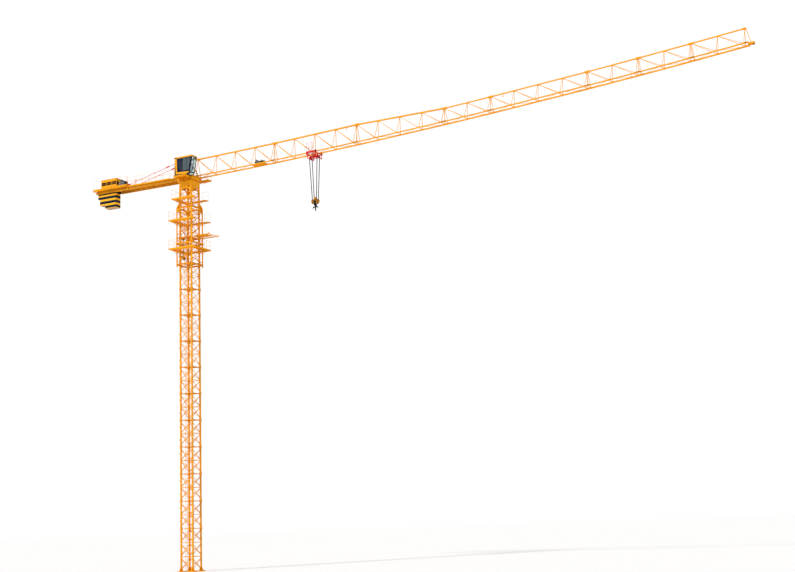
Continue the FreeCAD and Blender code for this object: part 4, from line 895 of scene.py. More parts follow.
def build_feed_platform():
    body = "climbing_frame"
    feed = Piece("feed_rails_and_deck")
    for s in (-1, 1):
        y = s * 97
        x0, x1 = -POST - 25, 340
        feed.block((x0, x1), (y - 2.5, y + 2.5), (FEED_DECK - 1.8, FEED_DECK))
        feed.block((x0, x1), (y - 0.9, y + 0.9), (FEED_DECK - 7, FEED_DECK - 1))
        feed.block((x0, x1), (y - 2.5, y + 2.5), (FEED_DECK - 8, FEED_DECK - 6.4))
        for x in range(120, 340, 44):
            feed.upright(x, y, 1, 2.4, (FEED_DECK - 7.5, FEED_DECK))
        feed.block((x1 - 14, x1), (y - 3, y + 3), (FEED_DECK, FEED_DECK + 9))
        feed.tube((POST + 3, y, MIDDLE_DECK - 25), (x1 - 7, y, FEED_DECK + 4), 1.1)
        feed.ball((POST + 3, y, MIDDLE_DECK - 25), 2.6)
    for k in range(7):
        x = POST + 12 + k * 35.4
        feed.block((x - 3, x + 3), (-96, 96), (FEED_DECK - 8, FEED_DECK - 1.6))
    planks = Piece("feed_deck_planks")
    for k in range(10):
        y = -90 + 13.4 * k
        planks.block((POST + 10, 286), (y - 4.6, y + 4.6), (FEED_DECK - 1.5, FEED_DECK + 0.4))
    feed.done("orange", body, ("feed_platform",), 0.3)
    planks.done("tread", body, (), 0.3)


def build_jack():
    yoke_x = -CHORD - 8 - 4.25 - 0.75
    yoke_low = BASE + SECTION * 10 + 78 + 7 + 0.3
    yoke = Piece("jack_yoke_beam")
    yoke.block((yoke_x - 3.5, yoke_x + 3.5), (-85, 85), (yoke_low, yoke_low + 2))
    yoke.block((yoke_x - 3.5, yoke_x + 3.5), (-85, 85), (yoke_low + 8, yoke_low + 10))
    yoke.block((yoke_x - 1.2, yoke_x + 1.2), (-84, 84), (yoke_low + 1, yoke_low + 9))
    for y in (-77.5, -40, 0, 40, 77.5):
        yoke.upright(yoke_x, y, 3.3, 1.2, (yoke_low + 1, yoke_low + 9))
    yoke.block((yoke_x - 3.5, yoke_x + 3.5), (-7, 7), (yoke_low + 9, yoke_low + 15))
    yoke.done("orange_worn", "mast", ("jack_yoke",), 0.4)
    head = Piece("jack_crosshead")
    head.block((yoke_x - 5, yoke_x + 12), (-24, 24), (yoke_low - 12, yoke_low + 0.5))
    head.block((yoke_x - 4, yoke_x + 20), (-16, 14), (yoke_low - 26, yoke_low - 10))
    for y in (-20, 20):
        head.tube((yoke_x + 4, y, yoke_low - 4), (yoke_x + 4, y, yoke_low + 22), 5, 12)
        head.tube((yoke_x + 4, y, yoke_low + 20), (yoke_x + 16, y * 0.4, yoke_low + 34), 1.2, 6)
    head.done("orange_dark", "mast", (), 0.5)
    rod = Piece("jack_piston_rod")
    rod.tube((yoke_x, 0, yoke_low + 9), (yoke_x, 0, yoke_low + 186), 3, 28)
    rod.done("chrome", "mast", (), 0.2)
    barrel = Piece("jack_barrel_tube")
    low, high = yoke_low + 20, FEED_DECK - 10
    softened("jack_barrel", "jack_barrel_body", "orange_dark", 0.4)
    for z in (low + 1, low + 9, high - 16):
        barrel.coil((yoke_x, 0, z), (0, 0, 1), 5.3)
    barrel.tube((yoke_x - 5, 4, low + 14), (yoke_x - 5, 4, high - 4), 0.9, 6)
    barrel.done("black", "climbing_frame")


def build_transition():
    body = "climbing_frame"
    legs = Piece("transition_corner_legs")
    for _, _, x, y in corners_at(CHORD):
        legs.upright(x, y, CHORD_HALF, CHORD_HALF, (TOP + 0.4, TRANSITION_HIGH))
        legs.upright(x, y, 8.5, 8.5, (TOP + 0.4, TOP + 12))
        legs.upright(x, y, 8.5, 8.5, (TRANSITION_HIGH - 14, TRANSITION_HIGH))
    legs.done("orange", body, ("transition_chords",), 0.8, 2)
    lattice = Piece("transition_lattice")
    middle = TOP + 120
    for side in ("right", "left", "rear", "front"):
        for z in (TOP + 7, middle, TRANSITION_HIGH - 7):
            level_bar(lattice, side, CHORD, CHORD_FACE, z, 3.3)
        crossed(lattice, side, CHORD, CHORD_FACE, TOP + 25, middle - 16, 3.2)
        crossed(lattice, side, CHORD, CHORD_FACE, middle + 16, TRANSITION_HIGH - 25, 3.2)
    lattice.done("orange", body, ("transition_bracing",), 0.25)
    softened("slewing_base", "slewing_arch_base", "orange", 0.8)
    ring = Piece("slewing_ring_bolts")
    high = TRANSITION_HIGH + 130
    ring.bolt_circle(32, 88, high, 2.2, 3)
    ring.done("orange_worn", body)


# ------------------------------------------------------------- upperworks


def build_turntable():
    softened("turntable", "turntable_box", "orange", 1.0)
    softened("tower_head", "tower_head_frame", "orange", 0.6)
    low, high = TRANSITION_HIGH + 145, TRANSITION_HIGH + 190
    trim = Piece("turntable_ribs")
    for s in (-1, 1):
        for x in range(-90, 91, 30):
            trim.block((x - 1.2, x + 1.2), (s * 95, s * 99), (low + 3, high - 3))
        trim.block((-105, 105), (s * 95, s * 99.5), (low, low + 3))
        trim.block((-105, 105), (s * 95, s * 99.5), (high - 3, high))
    trim.bolt_circle(28, 72, high, 2.2, 2.5)
    for x, y in ((60, -56), (-60, 56)):
        trim.tube((x, y, high), (x, y, high + 34), 11, 28)
        trim.tube((x, y, high + 34), (x, y, high + 50), 8, 28)
    trim.done("orange_worn", "upperworks", (), 0.3)
    softened("cab_bracket", "cab_bracket_floor", "orange", 0.6)
    edge = Piece("cab_bracket_edges")
    z = CAB_LOW - 9.3
    edge.block((-86, 89), (CAB_NEAR + 1, CAB_NEAR + 4), (z - 3, z + 9))
    edge.block((86, 89), (CAB_NEAR + 1, -95.5), (z - 3, z + 9))
    edge.block((-86, -83), (CAB_NEAR + 1, -95.5), (z - 3, z + 9))
    for x in range(-60, 80, 24):
        edge.block((x - 1, x + 1), (CAB_NEAR + 4, -96), (z - 5, z))
    edge.done("orange", "upperworks", (), 0.4)
    landing = Piece("side_landing_frame")
    grid = Piece("side_landing_grating")
    rails = Piece("side_landing_handrail")
    top = low + 6
    grated_strip(landing, grid, (105.4, 205), (64, 158), top)
    grated_strip(landing, grid, (40, 105.2), (95.4, 158), top)
    landing.beam((110, 96, top - 40), (180, 140, top - 6), 4, 4)
    handrail(rails, [(42, 156.4), (203.4, 156.4), (203.4, 65.6)], top)
    landing.done("orange", "upperworks", ("side_landing",), 0.3)
    grid.done("orange_worn", "upperworks")
    rails.done("orange_rail", "upperworks")


def cab_front_x(z):
    """Outer X of the leaning windscreen at a height."""
    return 144 + (z - CAB_LOW - 20) * 34 / 193


def build_cab():
    body = "upperworks"
    softened("cab_shell", "cab_shell_panels", "navy", 1.4)
    softened("cab_door", "cab_door_panel", "navy", 0.5)
    dress_node("cab_glass", "glass")
    trim = Piece("cab_orange_frame")
    for y in (CAB_NEAR - 0.3, CAB_FAR + 0.3):
        face = (y - 0.8, y + 0.8)
        trim.block((-66, 177), face, (CAB_HIGH - 14, CAB_HIGH))
        trim.prism(
            ((-47, CAB_LOW + 13), (-29, CAB_LOW + 34), (-35, CAB_HIGH - 1), (-66, CAB_HIGH - 1)), face
        )
        trim.prism(
            ((-47, CAB_LOW + 13), (98, CAB_LOW + 1.5), (142, CAB_LOW + 25), (-31, CAB_LOW + 35)), face
        )
    trim.block((-68, 179), (CAB_NEAR - 2, CAB_FAR + 2), (CAB_HIGH, CAB_HIGH + 4))
    trim.block((176, 180), (CAB_NEAR - 1, CAB_FAR + 1), (CAB_HIGH - 9, CAB_HIGH + 2))
    trim.beam((145, CAB_FAR - 2, CAB_LOW + 24), (177, CAB_FAR - 2, CAB_HIGH - 3), 4, 3)
    trim.done("orange", body, (), 0.5)
    seals = Piece("cab_window_seals")
    low, high = CAB_LOW + 44, CAB_HIGH - 20
    for y in (CAB_NEAR - 0.3, CAB_FAR + 0.3):
        corners = [(46, low), (132, low), (157, high), (46, high)]
        for (x0, z0), (x1, z1) in zip(corners, corners[1:] + corners[:1]):
            seals.beam((x0, y, z0), (x1, y, z1), 1.8, 3)
        seals.beam((37, y, low - 8), (37, y, high + 8), 1.4, 8)
        seals.beam((101, y, low), (101, y, high), 1.2, 1.8)
    near, far = CAB_NEAR + 9, CAB_FAR - 9
    low, high = CAB_LOW + 26, CAB_HIGH - 12
    for y in (near, far, CAB_MIDDLE):
        seals.beam((cab_front_x(low) + 0.3, y, low), (cab_front_x(high) + 0.3, y, high), 2.4, 1.6)
    for z in (low, low + 52, high):
        seals.beam((cab_front_x(z) + 0.3, near, z), (cab_front_x(z) + 0.3, far, z), 1.8, 2.4)
    wiper_z = low + 58
    pivot = (cab_front_x(wiper_z) + 2, CAB_MIDDLE - 22, wiper_z)
    tip = (cab_front_x(wiper_z + 70) + 2, CAB_MIDDLE + 2, wiper_z + 70)
    seals.tube(pivot, tip, 0.8)
    seals.ball(pivot, 2.2)
    seals.done("seal", body, (), 0.3)
    pane = Piece("cab_lower_window")
    pane.beam((111, CAB_MIDDLE, CAB_LOW + 3.6), (137, CAB_MIDDLE, CAB_LOW + 16), far - near - 6, 1.2)
    pane.done("glass", body, (), 0.2)
    fittings = Piece("cab_grab_rails")
    for y in (CAB_MIDDLE - 45, CAB_MIDDLE + 38):
        fittings.tube((-69, y, CAB_LOW + 60), (-69, y, CAB_LOW + 140), 1.1)
        for z in (CAB_LOW + 60, CAB_LOW + 140):
            fittings.tube((-66, y, z), (-69.5, y, z), 1.1)
    for y in (CAB_NEAR + 3, CAB_FAR - 3):
        handrail(fittings, [(-84, y), (-68, y)], CAB_LOW, 50)
    for x in (-40, 20, 80):
        fittings.bolt((x, CAB_MIDDLE - 30, CAB_HIGH + 4), (0, 0, 1), 2.2, 2)
        fittings.bolt((x, CAB_MIDDLE + 30, CAB_HIGH + 4), (0, 0, 1), 2.2, 2)
    fittings.done("orange_rail", body)


def track_z(x):
    """Height of the bottom chords' middle line on the camber's arc."""
    run = x - TRACK_LOW_X
    return TRACK_LOW_Z + TRACK_RADIUS - math.sqrt(TRACK_RADIUS**2 - run * run)


def jib_depth(bay):
    """Height of the top chord above the track, less towards the tip."""
    share = min(max((bay - 8) / 4, 0), 1)
    return JIB_DEEP + (JIB_SHALLOW - JIB_DEEP) * share


def on_track(x):
    """The turn and shift of something built about the track at x."""
    slope = math.asin((x - TRACK_LOW_X) / TRACK_RADIUS)
    return Matrix.Translation((x, 0, track_z(x))) @ Matrix.Rotation(-slope, 4, "Y")


def jib_section(index, first, bays):
    """One triangular jib section of tube, with its rails, pins and lifelines."""
    x0, x1 = ROOT_X + first * BAY, ROOT_X + (first + bays) * BAY
    z0, z1 = track_z(x0), track_z(x1)
    length = math.hypot(x1 - x0, z1 - z0) - 0.6
    step = length / bays
    slope = math.atan2(z1 - z0, x1 - x0)
    turn = Matrix.Translation((x0, 0, z0)) @ Matrix.Rotation(-slope, 4, "Y")
    top_size = 15 if first < 12 else 12
    brace = 3.1 if first < 12 else 2.6
    lean = length / (2 * TRACK_RADIUS)
    heights = [jib_depth(first + k) for k in range(bays + 1)]
    tops = [k * step for k in range(bays + 1)]
    tops[0] = (heights[0] + top_size) * lean
    tops[-1] = length - (heights[-1] + top_size) * lean
    steel = Piece(f"jib_truss_{index}", turn)
    pins = Piece(f"jib_pins_{index}", turn)
    steel.beam((tops[0], 0, heights[0]), (tops[-1], 0, heights[-1]), top_size, top_size)
    feet = [(k + 0.877) * step for k in range(bays)]
    for side in (-1, 1):
        y = side * JIB_HALF
        steel.block((0, length), (y - 6, y + 6), (-6, 6))
        steel.block((0, length), sorted((y + side * 5, y + side * 13)), (-6, -3.5))
        steel.tube((4, y, 0), (tops[0] + 4, 0, heights[0]), brace, 12)
        for k in range(bays):
            foot = (feet[k], y, 0)
            steel.tube((tops[k] + (4 if k == 0 else 0), 0, heights[k]), foot, brace, 12)
            end = min(tops[k + 1], tops[-1] - 4)
            steel.tube(foot, (end, 0, heights[k + 1]), brace, 12)
            steel.beam((feet[k] - 11, y * 0.985, 7.5), (feet[k] + 11, y * 0.985, 7.5), 2, 9)
        for x in (0.2, length - 24.2):
            steel.block((x, x + 24), sorted((y - side * 7.2, y + side * 6)), (-1, 8.8))
        for x in (6, length - 6):
            pins.tube((x, y - side * 8.4, 2.6), (x, y - side * 7.0, 2.6), 3.4, 12)
    for k in range(bays + 1):
        x = min(max(tops[k], tops[0] + 8), tops[-1] - 8)
        steel.beam(
            (x - 12, 0, heights[k] - top_size / 2 - 3), (x + 12, 0, heights[k] - top_size / 2 - 3), 8, 7
        )
    for x in (tops[0] + 0.2, tops[-1] - 26.2):
        z = heights[0] if x < length / 2 else heights[-1]
        half = top_size / 2 + 2
        steel.block((x, x + 26), (-half, half), (z - top_size / 2 - 4, z + top_size / 2 + 4))
        for side in (-1, 1):
            pins.tube((x + 8, side * half, z + 2), (x + 8, side * (half + 1.4), z + 2), 3.6, 12)
    lateral = [6.0] + feet
    for x in lateral:
        steel.tube((x, -JIB_HALF, 0), (x, JIB_HALF, 0), 2.3)
    for k, (xa, xb) in enumerate(zip(lateral[:-1], lateral[1:])):
        side = -1 if k % 2 else 1
        steel.tube((xa, side * JIB_HALF, 0), (xb, -side * JIB_HALF, 0), 2.1)
    lines = Piece(f"jib_lifelines_{index}", turn)
    for side in (-1, 1):
        ya = side * JIB_HALF * 0.58
        lines.tube((2, ya, heights[0] * 0.42), (length - 2, ya, heights[-1] * 0.42), 0.45, 6)
    lines.tube(
        (2, 0, heights[0] + top_size * 1.1), (length - 2, 0, heights[-1] + top_size * 1.1), 0.4, 6
    )
    for k in range(bays):
        x = (k + 0.5) * step
        share = (k + 0.5) / bays
        z = heights[0] + (heights[-1] - heights[0]) * share
        lines.tube((x, 0, z + 4), (x, 0, z + top_size * 1.1), 0.7, 6)
    node = f"jib_section_{index}"
    steel.done("orange", "upperworks", (node,), 0.5)
    pins.done("orange_worn", "upperworks", (), 0.2)
    lines.done("zinc", "upperworks")


def build_jib():
    first = 0
    for index, bays in enumerate(JIB_BAYS, start=1):
        jib_section(index, first, bays)
        first += bays
    softened("jib_tip_frame", "jib_tip_plates", "orange", 0.5)
    tip = Piece("jib_tip_sheave", on_track(ROOT_X + sum(JIB_BAYS) * BAY + 0.4))
    for y in (-5, 4):
        tip.tube((48, y, -6), (48, y + 1.4, -6), 15.6, 28)
    tip.tube((48, -14.6, -6), (48, 14.6, -6), 4, 12)
    tip.done("black", "upperworks", (), 0.2)
    hangers = Piece("jib_top_brackets")
    for bay, drop in ((2.0, 26), (7.5, 30), (14.5, 30)):
        x = ROOT_X + bay * BAY
        z = track_z(x) + jib_depth(bay)
        hangers.beam((x, 0, z - 4), (x - 4, 0, z - drop), 3, 6)
        hangers.block((x - 8, x + 4), (-3, 3), (z - drop - 4, z - drop + 2))
    hangers.done("orange", "upperworks", (), 0.4)


def drum(piece, coils, start, end, radius):
    """A rope drum between two points along Y or X, with its flanges and wound rope."""
    start, end = Vector(start), Vector(end)
    run = (end - start).normalized()
    piece.tube(start, end, radius * 0.86, 28)
    for at in (start, end - run * 2.5):
        piece.tube(at, at + run * 2.5, radius * 1.16, 28)
    length = (end - start).length
    turns = int((length - 6) / 2.6)
    for k in range(turns):
        coils.coil(start + run * (4 + 2.6 * k), run, radius * 0.93)


def motor(piece, start, end, radius):
    """A finned motor with its end bells."""
    start, end = Vector(start), Vector(end)
    run = (end - start).normalized()
    piece.tube(start, end, radius * 0.86, 28)
    length = (end - start).length
    for k in range(int(length / 2.4)):
        at = start + run * (1 + 2.4 * k)
        piece.tube(at, at + run * 1.0, radius, 28)
    piece.tube(end, end + run * 4, radius * 0.7, 28)


def build_trolley_winch():
    turn = on_track(960)
    floor = Piece("haul_winch_floor", turn)
    floor.block((-80, 90), (-40, 40), (4.2, 6.8))
    for y in (-40, 40):
        floor.block((-80, 90), (y - 2, y + 2), (-2, 7))
    for x in (-78, -20, 40, 86):
        floor.block((x - 2, x + 2), (-40, 40), (-1, 5))
    floor.done("orange", "upperworks", ("trolley_winch",), 0.4)
    base = Piece("haul_winch_cheeks", turn)
    for x in (-42, 38):
        for y in ((-27, -8), (-8, 8), (8, 27)):
            tall = 54 if y[0] == -8 else 36
            base.block((x, x + 4), y, (6.5, tall))
    base.prism(((-44, 7), (44, 7), (8, 46), (-24, 62)), (-27, -24))
    base.prism(((-44, 7), (44, 7), (8, 46), (-24, 62)), (24, 27))
    base.done("machine_mid", "upperworks", (), 0.5)
    drums = Piece("haul_winch_drum", turn)
    rope = Piece("haul_winch_rope", turn)
    drum(drums, rope, (-34, 0, 30), (34, 0, 30), 15)
    motor(drums, (43, 0, 30), (72, 0, 30), 12)
    drums.done("machine_dark", "upperworks", (), 0.2)
    rope.done("rope", "upperworks")


# -------------------------------------------------------------- counter-jib


def open_edge(piece, start, end, spacing=52.0):
    """A deck edge of two flats with short uprights between them."""
    (x0, y0), (x1, y1) = start, end
    piece.beam((x0, y0, DECK_HIGH - 2.5), (x1, y1, DECK_HIGH - 2.5), 2.4, 5)
    piece.beam((x0, y0, DECK_LOW + 2.5), (x1, y1, DECK_LOW + 2.5), 2.4, 5)
    count = max(1, round(math.hypot(x1 - x0, y1 - y0) / spacing))
    for k in range(count + 1):
        x, y = x0 + (x1 - x0) * k / count, y0 + (y1 - y0) * k / count
        wide = (9, 2.2) if y0 == y1 else (2.2, 9)
        piece.upright(x, y, wide[0] / 2, wide[1] / 2, (DECK_LOW + 1, DECK_HIGH - 1))


def build_counter_jib():
    body = "upperworks"
    # The girders' darker orange is painted shade.
    softened("counter_jib_beams", "counter_jib_girders", "orange_girder_painted_shade", 0.5)
    ribs = Piece("counter_jib_girder_ribs")
    for s in (-1, 1):
        for x in range(-1000, -120, 88):
            y = s * 60
            ribs.upright(x, y, 1, 6.4, (BEAM_LOW + 6, BEAM_HIGH - 6))
        for x in (-862, -846):
            ribs.block((x - 7, x + 7), sorted((s * 66, s * 69)), (BEAM_LOW + 3, BEAM_HIGH - 3))
            ribs.bolt((x, s * 69, BEAM_LOW + 9), (0, s, 0), 4, 3)
            ribs.bolt((x, s * 69, BEAM_HIGH - 9), (0, s, 0), 4, 3)
    for x in (-220, -420, -620, -800):
        ribs.tube((x, -58, BEAM_LOW + 14), (x, 58, BEAM_LOW + 14), 3.5)
        ribs.tube((x, -58, BEAM_LOW + 14), (x - 100, 58, BEAM_LOW + 14), 2.6)
    ribs.done("orange_worn", body, (), 0.3)
    deck = Piece("counter_jib_deck_frame")
    grid = Piece("counter_jib_grating")
    for s in (-1, 1):
        open_edge(deck, (REAR_BACK + 1.2, s * 98.8), (REAR_FRONT, s * 98.8))
        deck.block((REAR_FRONT, -114), sorted((s * 72.6, s * 75)), (DECK_LOW + 0.2, WALK_HIGH))
    open_edge(deck, (REAR_BACK + 1.2, -98.8), (REAR_BACK + 1.2, 98.8))
    open_edge(deck, (REAR_FRONT - 1.2, -98.8), (REAR_FRONT - 1.2, 98.8))
    for x in range(int(REAR_BACK) + 30, int(REAR_FRONT), 40):
        deck.block((x - 1.5, x + 1.5), (-98, 98), (DECK_LOW + 4, DECK_HIGH - 4))
    for x in range(int(REAR_FRONT) + 40, -120, 48):
        deck.block((x - 1.5, x + 1.5), (-73, 73), (DECK_LOW + 0.2, WALK_HIGH - 2.6))
    for y in range(-96, 97, 8):
        grid.block(
            (REAR_BACK + 3, REAR_FRONT - 3), (y - 0.5, y + 0.5), (DECK_HIGH - 3.6, DECK_HIGH - 0.3)
        )
    for y in range(-72, 73, 8):
        grid.block((REAR_FRONT + 1, -115), (y - 0.5, y + 0.5), (WALK_HIGH - 3, WALK_HIGH - 0.3))
    for x in range(int(REAR_BACK) + 10, -120, 22):
        wide, high = (97, DECK_HIGH) if x < REAR_FRONT else (72, WALK_HIGH)
        grid.block((x - 0.4, x + 0.4), (-wide, wide), (high - 2.6, high - 1.4))
    deck.done("orange", body, ("counter_jib_deck",), 0.3)
    grid.done("orange_worn", body)
    for s, word in ((-1, "right"), (1, "left")):
        rails = Piece(f"counter_jib_handrail_{word}")
        walk = [(-226, s * 73.5), (REAR_FRONT + 1.5, s * 73.5)]
        rear = [(REAR_FRONT - 1.5, s * 73.5), (REAR_FRONT - 1.5, s * 98.5), (REAR_BACK + 1.5, s * 98.5)]
        handrail(rails, walk, WALK_HIGH, 96)
        handrail(rails, rear, DECK_HIGH, 96)
        rails.done("orange_rail", body, (f"counter_jib_railing_{word}",))


def build_stays():
    high = Vector((-36.2, 0, TOP + 642))
    low = Vector((REAR_FRONT + 2, 0, DECK_HIGH + 12))
    run = (low - high).normalized()
    rods = Piece("stay_rods")
    fittings = Piece("stay_fittings")
    for s in (-1, 1):
        shift = Vector((0, s * 50, 0))
        rods.tube(high + shift, low + shift, 2.7, 12)
        for start, length, radius in ((6, 20, 4.4), (222, 44, 7.5), (430, 22, 4), (640, 22, 4)):
            begin = high + shift + run * start
            fittings.tube(begin, begin + run * length, radius, 12)
        end = low + shift
        for way in (-3.4, 3.4):
            side = Vector((0, way, 0))
            fittings.beam(end + side - run * 22, end + side + run * 4, 1.6, 8)
        fittings.tube(end + Vector((0, -6, 0)), end + Vector((0, 6, 0)), 2.6, 12)
        fittings.upright(end.x, end.y, 9, 2, (DECK_HIGH + 0.2, end.z + 6))
    rods.done("stay", "upperworks", ("counter_jib_stays",))
    fittings.done("stay_red", "upperworks", (), 0.3)


def build_machinery():
    body = "upperworks"
    low, high = DECK_HIGH + 6, DECK_HIGH + 124
    x, y = (-1258, -1028), (-50, 50)
    house = Piece("machinery_house_panels")
    house.block((x[0] + 3, x[1] - 3), (y[0] + 3, y[1] - 3), (low + 2, high - 3))
    house.block(x, y, (low, low + 46))
    house.block(x, y, (high - 31, high - 5))
    house.block((x[0] - 2, x[1] + 2), (y[0] - 2, y[1] + 2), (high - 5, high))
    for corner_x in (x[0] + 3, x[1] - 3, -1181, -1105):
        for corner_y in (y[0] + 1.5, y[1] - 1.5):
            house.upright(corner_x, corner_y, 3, 2, (low, high - 4))
    for foot_x in (-1240, -1046):
        house.block((foot_x - 10, foot_x + 10), (-48, 48), (DECK_HIGH + 0.2, low + 1))
    house.done("orange", body, ("machinery_house",), 0.8, 2)
    louvres = Piece("machinery_house_louvres_and_painted_shade")
    for k in range(9):
        z = low + 48 + k * 4.6
        for side in (-1, 1):
            louvres.beam((x[0] + 6, side * 48, z), (x[1] - 6, side * 48, z), 3.4, 2.6)
        louvres.beam((x[1] - 2, y[0] + 4, z), (x[1] - 2, y[1] - 4, z), 3.0, 2.6)
        louvres.beam((x[0] + 2, y[0] + 4, z), (x[0] + 2, y[1] - 4, z), 3.0, 2.6)
    # A black block behind the slats fills the house's recess: painted shade inside the louvres.
    louvres.block((x[0] + 2.6, x[1] - 2.6), (y[0] + 2.6, y[1] - 2.6), (low + 46.5, high - 31.5))
    louvres.done("black", body, (), 0.3)
    frame_piece = Piece("hoist_winch_frame")
    frame_piece.block((-1018, -886), (-46, 46), (DECK_HIGH + 0.2, DECK_HIGH + 3))
    for s in (-1, 1):
        frame_piece.block((-1018, -886), sorted((s * 40, s * 46)), (DECK_HIGH + 3, DECK_HIGH + 8))
        for x0, x1, z0, z1 in ((-1010, -900, 7, 30), (-1002, -916, 30, 58), (-990, -934, 58, 72)):
            frame_piece.block((x0, x1), sorted((s * 39, s * 45)), (DECK_HIGH + z0, DECK_HIGH + z1))
        for x0, z0 in ((-1004, 20), (-906, 20), (-996, 48), (-922, 48)):
            frame_piece.bolt((x0, s * 45, DECK_HIGH + z0), (0, s, 0), 2.4, 2)
        frame_piece.tube((-962, s * 44, DECK_HIGH + 58), (-962, s * 48, DECK_HIGH + 58), 11, 28)
    frame_piece.done("machine", body, ("hoist_winch",), 0.7)
    works = Piece("hoist_winch_drum")
    rope = Piece("hoist_winch_rope")
    drum(works, rope, (-962, -38, DECK_HIGH + 58), (-962, 38, DECK_HIGH + 58), 33)
    motor(works, (-905, -32, DECK_HIGH + 28), (-905, 26, DECK_HIGH + 28), 15)
    works.block((-924, -888), (26, 38), (DECK_HIGH + 6, DECK_HIGH + 46))
    works.done("machine_dark", body, (), 0.3)
    rope.done("rope", body)


def build_counterweight():
    softened("counterweight_slabs", "banded_slabs", "slabs", 1.2)
    eyes = Piece("slab_lifting_eyes")
    for k in range(7):
        x = -1040 - k * 40.2 - (19.8 if k < 6 else 13)
        for y in (-24, 24):
            eyes.coil((x, y, BEAM_HIGH - 3.4), (1, 0, 0), 2.8)
    eyes.done("black", "upperworks")


# ------------------------------------------------- trolley, ropes and hook


def sheave(piece, centre, radius, half):
    """A grooved rope wheel square to Y."""
    x, y, z = centre
    piece.tube((x, y - half * 0.5, z), (x, y + half * 0.5, z), radius * 0.86, 28)
    for way in (-1, 1):
        a, b = sorted((way * half * 0.45, way * half))
        piece.tube((x, y + a, z), (x, y + b, z), radius, 28)
    piece.tube((x, y - half * 1.15, z), (x, y + half * 1.15, z), radius * 0.3, 12)


def build_trolley():
    turn = on_track(TROLLEY_X)
    low, wheel_z = -22.0, 5.5
    red = Piece("trolley_red_frame", turn)
    dark = Piece("trolley_sheaves", turn)
    for s in (-1, 1):
        y = sorted((s * 66, s * 69))
        rail = sorted((s * 20, s * 24))
        red.block((-66, 66), y, (wheel_z - 7, wheel_z + 5))
        red.block((-66, 66), y, (low, low + 7))
        for x0, x1 in ((-66, -50), (-8, 8), (50, 66)):
            red.block((x0, x1), y, (low, wheel_z))
        for w in (-1, 1):
            red.beam((w * 50, s * 67.5, wheel_z - 5), (w * 8, s * 67.5, low + 4), 2.4, 5)
            red.block((w * LEG_X - 4, w * LEG_X + 4), y, (FOOT_Z, wheel_z + 12))
            red.block((w * LEG_X - 4, w * LEG_X + 4), rail, (FOOT_Z, FOOT_Z + 30))
            red.beam((w * LEG_X, s * 67.5, low), (w * (LEG_X - 30), s * 67.5, low + 1), 2, 3)
            red.beam((w * LEG_X, s * 67.5, FOOT_Z + 4), (w * (LEG_X - 26), s * 67.5, low), 2.4, 4)
            plate = ((w * SHEAVE_X - 15, SHEAVE_Z - 10), (w * SHEAVE_X + 15, SHEAVE_Z - 10))
            plate += ((w * SHEAVE_X + 7, SHEAVE_Z + 12), (w * SHEAVE_X - 7, SHEAVE_Z + 12))
            red.prism(plate, sorted((s * 9, s * 11)))
            red.tube((w * SHEAVE_X, s * 20, SHEAVE_Z), (w * SHEAVE_X, s * 25, SHEAVE_Z), 6, 12)
        red.block((-LEG_X - 4, LEG_X + 4), rail, (FOOT_Z + 6, FOOT_Z + 12))
        red.block((-LEG_X - 4, LEG_X + 4), rail, (FOOT_Z + 24, FOOT_Z + 30))
        for x in (-34, -12, 12, 34):
            red.block((x - 3, x + 3), sorted((s * 20.4, s * 23.6)), (FOOT_Z + 7, FOOT_Z + 29))
            red.beam((x, s * 22, FOOT_Z + 28), (x, s * 60, low), 3, 3)
    for w in (-1, 1):
        red.block((w * LEG_X - 4, w * LEG_X + 4), (-69, 69), (FOOT_Z, FOOT_Z + 5))
    for x in (-66, 56, -6):
        red.block((x, x + 10), (-68.6, 68.6), (low - 2, low))
        red.block((x, x + 10), (-68.6, 68.6), (low + 4, low + 6))
        red.block((x + 4, x + 6), (-68.4, 68.4), (low - 1, low + 5))
    for x in (-SHEAVE_X, SHEAVE_X):
        sheave(dark, (x, 0, SHEAVE_Z), 12.4, 4.5)
        dark.tube((x, -25.4, SHEAVE_Z), (x, 25.4, SHEAVE_Z), 2.6, 12)
    red.done("red", "trolley", ("trolley_frame",), 0.5)
    dark.done("black", "trolley", (), 0.3)
    wheels = Piece("trolley_rail_wheels", turn)
    for x in (-48, 48):
        for s in (-1, 1):
            a, b = sorted((s * 54.5, s * 59.5))
            wheels.tube((x, a, wheel_z), (x, b, wheel_z), 7, 28)
            wheels.tube((x, s * 59.5, wheel_z), (x, s * 65.8, wheel_z), 2.5, 12)
            wheels.bolt((x, s * 69, wheel_z), (0, s, 0), 3.6, 2)
            a, b = sorted((s * 54.2, s * 55.2))
            wheels.tube((x, a, wheel_z), (x, b, wheel_z), 5, 28)
    wheels.done("steel", "trolley", ("trolley_wheels",), 0.4)
    basket = Piece("trolley_basket_rails", turn)
    mesh = Piece("trolley_basket_floor", turn)
    grated_strip(basket, mesh, (-32, 34), (-111, -69.2), low + 1, 3)
    handrail(basket, [(-30.5, -70.7), (-30.5, -109.5), (32.5, -109.5), (32.5, -70.7)], low + 1, 62)
    basket.done("red", "trolley", ("trolley_basket",))
    mesh.done("zinc", "trolley")


def hook_places():
    """Middle and tilt of the trolley's sheaves, and the block's height."""
    track = track_z(TROLLEY_X)
    tilt = (TROLLEY_X - TRACK_LOW_X) / TRACK_RADIUS
    return track, tilt, track - HOOK_DROP


def build_ropes():
    track, tilt, block_z = hook_places()
    ropes = Piece("hoist_rope_falls")
    for side in (-1, 1):
        for hand in (-1, 1):
            middle = TROLLEY_X + side * SHEAVE_X - SHEAVE_Z * tilt
            start = (middle + hand * 16.9, 0, track + SHEAVE_Z + side * SHEAVE_X * tilt)
            end = (TROLLEY_X + side * 25 + hand * 11.9, 0, block_z)
            ropes.tube(start, end, 4.4, 12)
    piece = ropes.done("rope", None, ("hoist_ropes",))
    top = Vector((TROLLEY_X, 0, track + SHEAVE_Z - 6)) * MM
    bottom = Vector((TROLLEY_X, 0, block_z + 6)) * MM
    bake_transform(piece)


